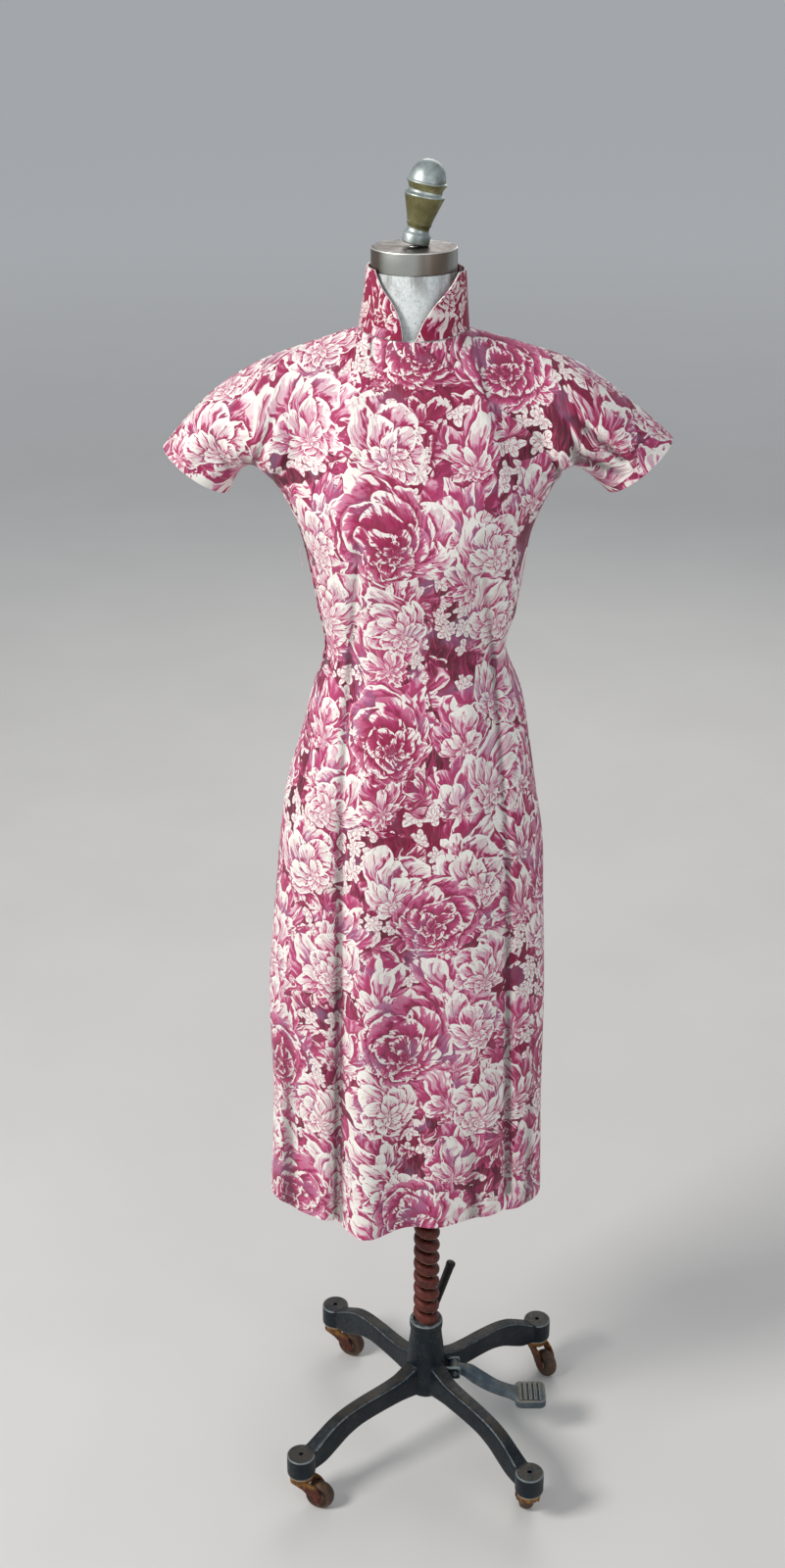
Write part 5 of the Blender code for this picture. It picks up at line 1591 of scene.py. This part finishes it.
def coil_group():
    """A coil spring of oval wire, standing on a point."""
    sockets = {"Foot": "Vector", "Radius": 0.0115,
               "Wire": 0.0045, "Tall": 1.0, "Height": 0.26,
               "Turns": 14.0, "Finish": "Material"}
    group, t, given, out = new_group("coil_spring", "GeometryNodeTree", sockets, {"Coil": "Geometry"})
    spiral = t.node("GeometryNodeCurveSpiral", {
        "Resolution": 40, "Rotations": given["Turns"], "Start Radius": given["Radius"],
        "End Radius": given["Radius"], "Height": given["Height"]}).outputs[0]
    spiral = t.node("GeometryNodeSetCurveNormal", {"Curve": spiral}, mode="Z_UP").outputs[0]
    ring = t.node("GeometryNodeCurvePrimitiveCircle", {"Resolution": 18, "Radius": given["Wire"]}).outputs[0]
    oval_scale = t.combine(1.0, given["Tall"], 1.0)
    ring = t.node("GeometryNodeTransform", {"Geometry": ring, "Scale": oval_scale}).outputs[0]
    wire = t.sweep(spiral, ring)
    placed = t.node("GeometryNodeTransform", {"Geometry": wire, "Translation": given["Foot"]}).outputs[0]
    smooth = t.node("GeometryNodeSetShadeSmooth", {"Geometry": placed}).outputs[0]
    t.feed(out["Coil"], t.real(smooth, given["Finish"]))
    return group


coil_start = CUP_FLOOR + GAP + WIRE_RADIUS * WIRE_TALL
coil_end = ROD_COLLAR_Z - GAP - WIRE_RADIUS * WIRE_TALL
coil_turns = (coil_end - coil_start) / SPRING_PITCH
spring = apply_nodes("stand_spring_coil", edge_lines("coil_seed", [SEED_LINE]), coil_group(),
                     {"Foot": (POST_X, 0.0, coil_start), "Radius": SPRING_RADIUS, "Wire": WIRE_RADIUS,
                      "Tall": WIRE_TALL, "Height": coil_end - coil_start, "Turns": coil_turns,
                      "Finish": spring_rust})
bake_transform(spring, "stand", "form", start=(POST_X, 0.0, coil_start), end=(POST_X, 0.0, coil_end))
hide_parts("stand_spring")
print("spring:", round(coil_turns, 1), "turns,", len(spring.data.polygons), "faces")

# %% [markdown]
# ## Old cast iron
# The casting, once black, has worn to a dark blue-green with brown wear, and its edges are rubbed
# pale. A ray-traced edge mask would be lost on export, so wear is measured on the mesh instead:
# a point that stands out over its neighbours lies on an edge, and a point attribute keeps that.

# %% Measure wear on a mesh
def mark_wear(mesh, rounds=2):
    """Store on each vertex how far it stands out over its neighbours, as the attribute wear."""
    rise = [0.0] * len(mesh.vertices)
    around = [[] for _ in mesh.vertices]
    for edge in mesh.edges:
        a, b = edge.vertices
        along = (mesh.vertices[b].co - mesh.vertices[a].co).normalized()
        rise[a] -= along.dot(mesh.vertices[a].normal)
        rise[b] += along.dot(mesh.vertices[b].normal)
        around[a].append(b)
        around[b].append(a)
    rise = [value / max(len(near), 1) for value, near in zip(rise, around)]
    for _ in range(rounds):
        rise = [(rise[i] + sum(rise[j] for j in near)) / (len(near) + 1) for i, near in enumerate(around)]
    mesh.attributes.new("wear", "FLOAT", "POINT").data.foreach_set("value", rise)
    ordered = sorted(rise)
    print("wear at the middle and the top tenth:", round(ordered[len(rise) // 2], 3),
          round(ordered[len(rise) * 9 // 10], 3))


# %% Iron finishes
WEAR_RANGE = (0.078, 0.125)


def old_iron(name, paint, worn_and_highlight, brown, edge, gloss=0.34, rubs=0.8):
    """Old paint on cast iron, worn to brown in patches and rubbed pale along its edges."""
    mat, t = new_finish(name, metallic=0.25, specular_ior_level=0.36)
    place = t.place()
    cloud = t.noise(place, 34.0, 4.0, 0.62)
    fine = t.noise(place, 210.0, 4.0, 0.65)
    skin = t.noise(place, 620.0, 2.0)
    thin = tuple(0.7 * a + 0.3 * b for a, b in zip(paint, worn_and_highlight))
    colour = t.ramp(cloud, [(0.30, paint), (0.52, thin), (0.76, worn_and_highlight)])
    rub_and_highlight = t.times(t.between(fine, 0.50, 0.66), t.between(cloud, 0.42, 0.62))
    colour = t.colour(t.times(rub_and_highlight, 0.65), colour, (*brown, 1.0))
    facing = t.split(t.facing())[2]
    dusty = t.times(t.between(facing, 0.80, 0.98), t.between(cloud, 0.36, 0.60, 0.15, 0.55))
    colour = t.colour(dusty, colour, (*brown, 1.0))
    wear = t.node("ShaderNodeAttribute", attribute_name="wear").outputs["Fac"]
    bare = t.times(t.between(t.math("MULTIPLY_ADD", fine, 0.05, wear), *WEAR_RANGE), rubs)
    colour = t.colour(bare, colour, (*edge, 1.0))
    t.shade("Base Color", colour)
    rough = t.between(fine, 0.3, 0.7, gloss, gloss + 0.28, "LINEAR")
    t.shade("Roughness", t.math("MULTIPLY_ADD", bare, -0.08, rough))
    t.shade("Normal", t.bump(skin, 0.30, 0.0007, t.bump(cloud, 0.25, 0.0016)))
    return mat


iron = old_iron("blackened_iron", rgb(5, 17, 27), rgb(18, 34, 43), rgb(66, 58, 46),
                rgb(140, 150, 152), 0.34, 0.62)
pedal_iron = old_iron("pedal_iron", rgb(48, 62, 74), rgb(104, 116, 124), rgb(94, 84, 58),
                      rgb(150, 146, 134), 0.38, 0.6)
lock_black = old_iron("lock_black", rgb(22, 21, 22), rgb(42, 40, 40), rgb(64, 56, 50),
                      rgb(120, 116, 112), 0.40, 0.5)

dark_wheel, t = new_finish("dark_wheel", metallic=0.15)
place = t.place()
dust = t.noise(place, 130.0, 4.0, 0.65)
colour = t.ramp(dust, [(0.30, rgb(46, 34, 26)), (0.55, rgb(78, 56, 40)), (0.78, rgb(122, 92, 66))])
t.shade("Base Color", colour)
t.shade("Roughness", t.between(dust, 0.3, 0.7, 0.5, 0.8, "LINEAR"))
t.shade("Normal", t.bump(t.noise(place, 700.0, 2.0), 0.3, 0.0005))
print("iron finishes:", [mat.name for mat in (iron, pedal_iron, lock_black, dark_wheel)])

# %% [markdown]
# ## The casting
# Hub, legs and bosses are one piece of iron, so their joints are soft fillets. Plain solids are
# joined by booleans, a fine voxel remesh fuses them, and a short smoothing melts the corners, as
# sand casting does. The bores are cut last so that they stay round.

# %% Solids for the stand
CUP_RADIUS = 0.0168
HUB_TOP = 0.1825
LEG_ANGLES = {"front_left": 219, "front_right": 308.5, "back_right": 40.5, "back_left": 127}
LEG_REACH = 0.200
BOSS_RADIUS = 0.0175
BOSS_BOTTOM = 0.047
BOSS_TOP = 0.075
TRAIL_ANGLES = {"front_left": -18, "front_right": 95, "back_right": -60, "back_left": -26}
TRAIL = 0.024
WHEEL_RADIUS = 0.018
WHEEL_WIDTH = 0.016
AXLE_RADIUS = 0.003
STEM_RADIUS = 0.004
FORK_PLATE = 0.0028
PEDAL_PIVOT = (POST_X + 0.037, 0.0, 0.102)
PEDAL_PIN = 0.003
LOCK_PIVOT = (POST_X + 0.0065, 0.0, 0.160)
LOCK_LEAN = radians(17)
LOCK_LENGTH = 0.088

LEG = [  # distance from the post, top, underside, half width
    (0.012, 0.124, 0.074, 0.0115), (0.028, 0.117, 0.076, 0.0105), (0.050, 0.109, 0.078, 0.0095),
    (0.105, 0.106, 0.0765, 0.0088), (0.130, 0.103, 0.070, 0.0088), (0.150, 0.097, 0.059, 0.009),
    (0.168, 0.087, 0.050, 0.0094), (0.190, 0.073, 0.0475, 0.0105),
]


def place_on_leg(angle, radius, z=0.0):
    """A point at a distance from the post, along a leg."""
    turn = radians(angle)
    return Vector((POST_X + radius * cos(turn), radius * sin(turn), z))


def bar_mesh(start, end, radius, segments=24):
    """A round bar from one point to another, with its edges softened."""
    axis = Vector(end) - Vector(start)
    length = axis.length
    soft = min(0.0004, radius * 0.3)
    profile = [(0.0, length), (radius - soft, length), (radius, length - soft), (radius, soft),
               (radius - soft, 0.0), (0.0, 0.0)]
    turn = axis.to_track_quat("Z", "Y").to_matrix().to_4x4()
    return turned_mesh(profile, segments, Matrix.Translation(start) @ turn)


def box_mesh(low, high, soft=0.0):
    """A box between two corners; its edges are rounded by a bevel."""
    bm = bmesh.new()
    bmesh.ops.create_cube(bm, size=1.0)
    low, high = Vector(low), Vector(high)
    for vert in bm.verts:
        vert.co = (low + high) / 2 + Vector([c * s for c, s in zip(vert.co, high - low)])
    if soft:
        bmesh.ops.bevel(bm, geom=bm.edges[:], offset=soft, segments=3, profile=0.5, affect="EDGES")
    return finished_mesh(bm, "box")


def join_and_cut(start, added=(), removed=(), remesh=0.0, smooth=0):
    """Union meshes, fuse them in a remesh, smooth, then cut the bores; returns a mesh."""
    base = linked("scratch", start)
    helpers = []

    def apply(kind, **settings):
        modifier = base.modifiers.new("step", kind)
        for name, value in settings.items():
            setattr(modifier, name, value)
        bpy.context.view_layer.update()
        graph = bpy.context.evaluated_depsgraph_get()
        fresh = bpy.data.meshes.new_from_object(base.evaluated_get(graph))
        base.modifiers.clear()
        base.data = fresh

    for mesh in added:
        helpers.append(linked("scratch", mesh))
        apply("BOOLEAN", operation="UNION", object=helpers[-1], solver="EXACT")
    if remesh:
        apply("REMESH", mode="VOXEL", voxel_size=remesh, adaptivity=0.0, use_smooth_shade=True)
        apply("SMOOTH", factor=0.5, iterations=smooth)
    for mesh in removed:
        helpers.append(linked("scratch", mesh))
        apply("BOOLEAN", operation="DIFFERENCE", object=helpers[-1], solver="EXACT")
    result = base.data
    for helper in [base] + helpers:
        bpy.data.objects.remove(helper, do_unlink=True)
    return result


LEG_SQUARE = 0.26
LEG_SIDES = 32
LEG_RINGS = 36


def leg_mesh(angle):
    """One leg: its section is an upright bar with a rounded crest, swept out from the hub."""
    out = place_on_leg(angle, 1.0) - place_on_leg(angle, 0.0)
    cross = Vector((-out.y, out.x, 0.0))
    rings = []
    for k in range(LEG_RINGS + 1):
        radius = mix(LEG[0][0], LEG[-1][0], k / LEG_RINGS)
        top, under, half = smooth_row(LEG, radius)
        middle, tall = (top + under) / 2, (top - under) / 2
        ring = []
        for turn in full_turn(LEG_SIDES, 0.5):
            w = half * signed_power(cos(turn), LEG_SQUARE)
            h = tall * signed_power(sin(turn), LEG_SQUARE)
            ring.append(place_on_leg(angle, radius) + cross * w + Vector((0, 0, middle + h)))
        rings.append(ring)
    return loft_mesh(rings)


# %% Hub, legs and bosses
VOXEL = 0.00115
BOSS_BORES = [  # from height, to height, radius, sides: the stem, the flat underside, the dimple on top
    (0.040, BOSS_BOTTOM + 0.0153, STEM_RADIUS + GAP, 28), (0.030, BOSS_BOTTOM, 0.03, 28),
    (BOSS_TOP - 0.004, BOSS_TOP + 0.01, 0.003, 24),
]
EAR_INSIDE = 0.0075
EAR_OUTSIDE = 0.012
EAR_HALF_TALL = 0.009
LOCK_FACE_Y = 0.026
LOCK_BOSS_RADIUS = 0.0087

hub_profile = [
    (0.0, HUB_TOP), (0.019, HUB_TOP), (0.0207, HUB_TOP - 0.001), (0.021, HUB_TOP - 0.0035),
    (0.0207, 0.1705),
    (0.0196, 0.169), (0.0196, 0.168), (0.0203, 0.156), (0.0218, 0.145), (0.0235, 0.125),
    (0.024, 0.085), (0.022, 0.0725), (0.0, 0.0725),
]
hub = turned_mesh(hub_profile, 72, Matrix.Translation((POST_X, 0, 0)))
boss_profile = rounded([(0.0, BOSS_TOP), (BOSS_RADIUS, BOSS_TOP), (BOSS_RADIUS, BOSS_BOTTOM),
                        (0.0, BOSS_BOTTOM)], 0.0016)
added = [leg_mesh(angle) for angle in LEG_ANGLES.values()]
for angle in LEG_ANGLES.values():
    added.append(turned_mesh(boss_profile, 56, Matrix.Translation(place_on_leg(angle, LEG_REACH))))
x, y, z = PEDAL_PIVOT
for near, far in ((-EAR_OUTSIDE, -EAR_INSIDE), (EAR_INSIDE, EAR_OUTSIDE)):
    low, high = (POST_X + 0.016, near, z - EAR_HALF_TALL), (x + 0.007, far, z + EAR_HALF_TALL)
    added.append(box_mesh(low, high, 0.0015))
x, y, z = LOCK_PIVOT
added.append(bar_mesh((x, 0.012, z), (x, LOCK_FACE_Y + 0.0002, z), LOCK_BOSS_RADIUS, 40))

removed = [bar_mesh((POST_X, 0, CUP_FLOOR), (POST_X, 0, 0.2), CUP_RADIUS, 72),
           bar_mesh((POST_X, 0, 0.06), (POST_X, 0, 0.2), ROD_RADIUS + GAP, 40)]
x, y, z = PEDAL_PIVOT
removed.append(bar_mesh((x, -0.02, z), (x, 0.02, z), PEDAL_PIN + GAP, 32))
removed.append(box_mesh((POST_X + 0.020, -0.0074, z - 0.016), (x + 0.012, 0.0074, z + 0.016)))
x, y, z = LOCK_PIVOT
removed.append(box_mesh((x - 0.01, LOCK_FACE_Y, z - 0.01), (x + 0.01, 0.04, z + 0.01)))
for angle in LEG_ANGLES.values():
    for start, end, radius, sides in BOSS_BORES:
        removed.append(bar_mesh(place_on_leg(angle, LEG_REACH, start), place_on_leg(angle, LEG_REACH, end),
                                radius, sides))
casting_mesh = join_and_cut(hub, added, removed, VOXEL, 2)
mark_wear(casting_mesh)
casting = keep_object("stand_casting_iron", casting_mesh, iron, smooth_angle=48)
fit(casting, "stand", "stand_casting")
print("casting:", len(casting.data.polygons), "faces")

# %% [markdown]
# ## Casters
# Each caster is a pressed fork under a swivel cup, and a dark wheel with a pale ring round its
# bore. Every fork turns about its stem and trails a different way. Each shape is drawn once in its
# own place, and a matrix sets it in the mesh of the body that carries it.

# %% Forks and wheels
def cheek_mesh(y):
    """One cheek of a fork, a flat plate that runs from the swivel plate round the axle."""
    outline = [(-0.011, 0.040), (-0.0104, 0.0372), (-0.0088, 0.035), (0.004, 0.029), (0.0106, 0.0232),
               (0.015, 0.0165)]
    outline += [(TRAIL + 0.0068 * cos(a), WHEEL_RADIUS + 0.0068 * sin(a))
                for a in (radians(195 + i * 12) for i in range(15))]
    outline += [(0.0278, 0.0258), (0.026, 0.030), (0.0232, 0.034), (0.020, 0.037), (0.0125, 0.040)]
    bm = bmesh.new()
    rows = [[bm.verts.new((px, y + side * FORK_PLATE / 2, pz)) for px, pz in outline] for side in (-1, 1)]
    bm.faces.new(rows[0])
    bm.faces.new(list(reversed(rows[1])))
    for i in range(len(outline)):
        j = (i + 1) % len(outline)
        bm.faces.new((rows[0][j], rows[0][i], rows[1][i], rows[1][j]))
    bmesh.ops.recalc_face_normals(bm, faces=bm.faces)
    sharp = [edge for edge in bm.edges if edge.calc_face_angle(0.0) > radians(60)]
    bmesh.ops.bevel(bm, geom=sharp, offset=0.0005, segments=2, profile=0.5, affect="EDGES")
    return finished_mesh(bm, "cheek")


CHEEK_Y = WHEEL_WIDTH / 2 + 0.0008 + FORK_PLATE / 2
fork_profile = [
    (0.0, BOSS_BOTTOM + 0.011), (STEM_RADIUS - 0.0004, BOSS_BOTTOM + 0.011),
    (STEM_RADIUS, BOSS_BOTTOM + 0.0106),
    (STEM_RADIUS, BOSS_BOTTOM - GAP), (0.0148, BOSS_BOTTOM - GAP), (0.0156, BOSS_BOTTOM - GAP - 0.0006),
    (0.0158, 0.045), (0.0154, 0.044), (0.0149, 0.0434), (0.0147, 0.042), (0.0146, 0.040),
    (0.0143, 0.0382), (0.0134, 0.0371), (0.010, 0.0368), (0.0, 0.0368),
]
axle_end = 0.0012
half_axle = CHEEK_Y + FORK_PLATE / 2 + axle_end
fork_mesh = join_and_cut(turned_mesh(fork_profile, 56), [
    cheek_mesh(-CHEEK_Y), cheek_mesh(CHEEK_Y),
    bar_mesh((TRAIL, -half_axle, WHEEL_RADIUS), (TRAIL, half_axle, WHEEL_RADIUS), AXLE_RADIUS, 28)])

bore = AXLE_RADIUS + GAP
rim = WHEEL_WIDTH / 2
wheel_profile = [
    (bore, rim), (0.0062, rim), (0.0066, rim - 0.0004), (0.0072, rim - 0.0014),
    (0.0112, rim - 0.0016), (0.0122, rim - 0.0012), (0.013, rim - 0.0003), (0.0142, rim),
    (0.0154, rim - 0.0008), (0.0166, rim - 0.0022), (0.0175, rim - 0.0042), (WHEEL_RADIUS, rim - 0.0062),
]
wheel_profile += [(radius, -across) for radius, across in reversed(wheel_profile)]
lay = Matrix.Rotation(pi / 2, 4, "X")
wheel_mesh = turned_mesh(wheel_profile, 72, Matrix.Translation((TRAIL, 0, WHEEL_RADIUS)) @ lay, closed=True)

wheel_ring, t = new_finish("wheel_ring", metallic=0.2, roughness=0.6)
dust = t.noise(t.place(), 240.0, 3.0)
t.shade("Base Color", t.ramp(dust, [(0.3, rgb(126, 92, 76)), (0.7, rgb(188, 168, 152))]))

for name, angle in TRAIL_ANGLES.items():
    stem = Matrix.Translation(place_on_leg(LEG_ANGLES[name], LEG_REACH))
    place = stem @ Matrix.Rotation(radians(angle), 4, "Z")
    fork_copy, wheel_copy = fork_mesh.copy(), wheel_mesh.copy()
    fork_copy.transform(place)
    fork_piece = keep_object("caster_fork_rust_" + name, fork_copy, caster_rust, smooth_angle=42)
    fit(fork_piece, "caster_" + name, "caster_fork_" + name)
    centre = Vector((TRAIL, 0.0, WHEEL_RADIUS))
    ring_faces = []
    for face in wheel_copy.polygons:
        away = face.center - centre
        if hypot(away.x, away.z) < 0.0064 and abs(away.y) > rim * 0.7:
            ring_faces.append(face.index)
    wheel_copy.transform(place)
    wheel_piece = keep_object("caster_wheel_dark_" + name, wheel_copy, dark_wheel, wheel_ring,
                              smooth_angle=48)
    for index in ring_faces:
        wheel_piece.data.polygons[index].material_index = 1
    fit(wheel_piece, "wheel_" + name, "caster_wheel_" + name)
print("casters:", len(TRAIL_ANGLES))

# %% [markdown]
# ## Pedal and lock bar
# The pedal arm drops from a barrel in the hub's ears and ends in a plate with a raised border and
# ridges for the foot. Ridges repeat, so Geometry Nodes lay them, each a little bar on the plate.

# %% Ridges for the tread
PEDAL_ARM = [  # distance from the pivot, height of the middle, half width, half height
    (0.003, 0.102, 0.0062, 0.0065), (0.012, 0.0985, 0.0066, 0.0085), (0.022, 0.093, 0.0105, 0.0103),
    (0.040, 0.080, 0.0106, 0.0098), (0.056, 0.070, 0.0094, 0.0084), (0.070, 0.064, 0.0098, 0.0075),
    (0.080, 0.0595, 0.013, 0.0065),
]
PLATE_LOW = (PEDAL_PIVOT[0] + 0.0785, -0.020, 0.052)
PLATE_HIGH = (PEDAL_PIVOT[0] + 0.118, 0.020, 0.063)
PEDAL_RIBS = 5


def ridge_group():
    """A row of equal bars between two ends of a line."""
    sockets = {"Start": "Vector", "End": "Vector",
               "Count": 5, "Size": "Vector",
               "Finish": "Material"}
    group, t, given, out = new_group("tread_ridges", "GeometryNodeTree", sockets, {"Ridges": "Geometry"})
    line = t.node("GeometryNodeMeshLine", {"Count": given["Count"], "Start Location": given["Start"],
                                           "Offset": given["End"]}, mode="END_POINTS").outputs[0]
    bar = t.node("GeometryNodeMeshCube", {"Size": given["Size"]}).outputs[0]
    placed = t.node("GeometryNodeInstanceOnPoints", {"Points": line, "Instance": bar}).outputs[0]
    t.feed(out["Ridges"], t.real(placed, given["Finish"]))
    return group


RIDGE_SIZE = (0.004, 0.030, 0.005)
RIDGE_TOP = 0.064
low_x, high_x = PLATE_LOW[0] + 0.0066, PLATE_HIGH[0] - 0.0066
ridge_z = RIDGE_TOP - RIDGE_SIZE[2] / 2
ridges = apply_nodes("pedal_ridges", edge_lines("ridge_seed", [SEED_LINE]), ridge_group(),
                     {"Start": (low_x, 0.0, ridge_z), "End": (high_x, 0.0, ridge_z), "Count": PEDAL_RIBS,
                      "Size": RIDGE_SIZE, "Finish": pedal_iron})
ridge_mesh = ridges.data
bpy.data.objects.remove(ridges, do_unlink=True)
print("ridges:", PEDAL_RIBS, "with", len(ridge_mesh.polygons), "faces")

# %% Pedal
PLATE_CORNER = 0.0085
PLATE_BORDER = 0.0035
ARM_RINGS = 28
ARM_SIDES = 28
ARM_SQUARE = 0.7


def plate_mesh(low, high, corner):
    """A flat plate between two corners of a box, with round corners seen from above."""
    low, high = Vector(low), Vector(high)
    outline = []
    corners = ((high.x, high.y, 0), (low.x, high.y, 90), (low.x, low.y, 180), (high.x, low.y, 270))
    for cx, cy, start in corners:
        mx = cx - corner if cx == high.x else cx + corner
        my = cy - corner if cy == high.y else cy + corner
        for i in range(9):
            turn = radians(start + 90 * i / 8)
            outline.append((mx + corner * cos(turn), my + corner * sin(turn)))
    return loft_mesh([[(px, py, pz) for px, py in outline] for pz in (low.z, high.z)])


x, y, z = PEDAL_PIVOT
rings = []
for k in range(ARM_RINGS + 1):
    reach = mix(PEDAL_ARM[0][0], PEDAL_ARM[-1][0], k / ARM_RINGS)
    height, half, thick = smooth_row(PEDAL_ARM, reach)
    rings.append([Vector((x + reach, half * signed_power(cos(turn), ARM_SQUARE),
                          height + thick * signed_power(sin(turn), ARM_SQUARE)))
                  for turn in full_turn(ARM_SIDES)])
plate = plate_mesh(PLATE_LOW, PLATE_HIGH, PLATE_CORNER)
border = Vector((PLATE_BORDER, PLATE_BORDER, 0.0))
hollow = plate_mesh(Vector(PLATE_LOW) + border + Vector((0, 0, 0.0085)),
                    Vector(PLATE_HIGH) - border + Vector((0, 0, 0.004)), PLATE_CORNER - 0.002)
plate = join_and_cut(join_and_cut(plate, (), [hollow]), [ridge_mesh])
pedal_parts = [loft_mesh(rings), plate]
pedal_mesh = join_and_cut(bar_mesh((x, -0.007, z), (x, 0.007, z), 0.0078, 48), pedal_parts, (), 0.00075, 2)
mark_wear(pedal_mesh)
pedal_mesh = join_and_cut(pedal_mesh, [bar_mesh((x, -0.0138, z), (x, 0.0138, z), PEDAL_PIN, 28)])
pedal = keep_object("stand_pedal_iron", pedal_mesh, pedal_iron, smooth_angle=48)
fit(pedal, "pedal", "stand_pedal")
print("pedal:", len(pedal.data.polygons), "faces")

# %% Lock bar
LOCK_Y = 0.0325
TIP_RADIUS = 0.006
TIP_DOME = 0.0022

x, y, z = LOCK_PIVOT
tip = (x + LOCK_LENGTH * sin(LOCK_LEAN), LOCK_Y, z + LOCK_LENGTH * cos(LOCK_LEAN))
bar_profile = [(0.0, LOCK_LENGTH)]
for i in range(1, 7):
    turn = pi / 2 * i / 6
    bar_profile.append((TIP_RADIUS * sin(turn), LOCK_LENGTH - TIP_DOME + TIP_DOME * cos(turn)))
bar_profile += [(0.0061, LOCK_LENGTH - 0.0055), (0.0056, LOCK_LENGTH - 0.0065), (0.005, 0.0004),
                (0.0046, 0.0), (0.0, 0.0)]
lean = (Vector(tip) - Vector((x, LOCK_Y, z))).to_track_quat("Z", "Y").to_matrix().to_4x4()
lock_bar = turned_mesh(bar_profile, 40, Matrix.Translation((x, LOCK_Y, z)) @ lean)
lock_mesh = join_and_cut(bar_mesh((x, 0.0263, z), (x, 0.0385, z), 0.0072, 44), [lock_bar])
lock = keep_object("stand_lock_bar_black", lock_mesh, lock_black, smooth_angle=45)
fit(lock, "lock", "stand_lock_bar")
print("lock bar:", len(lock.data.polygons), "faces")
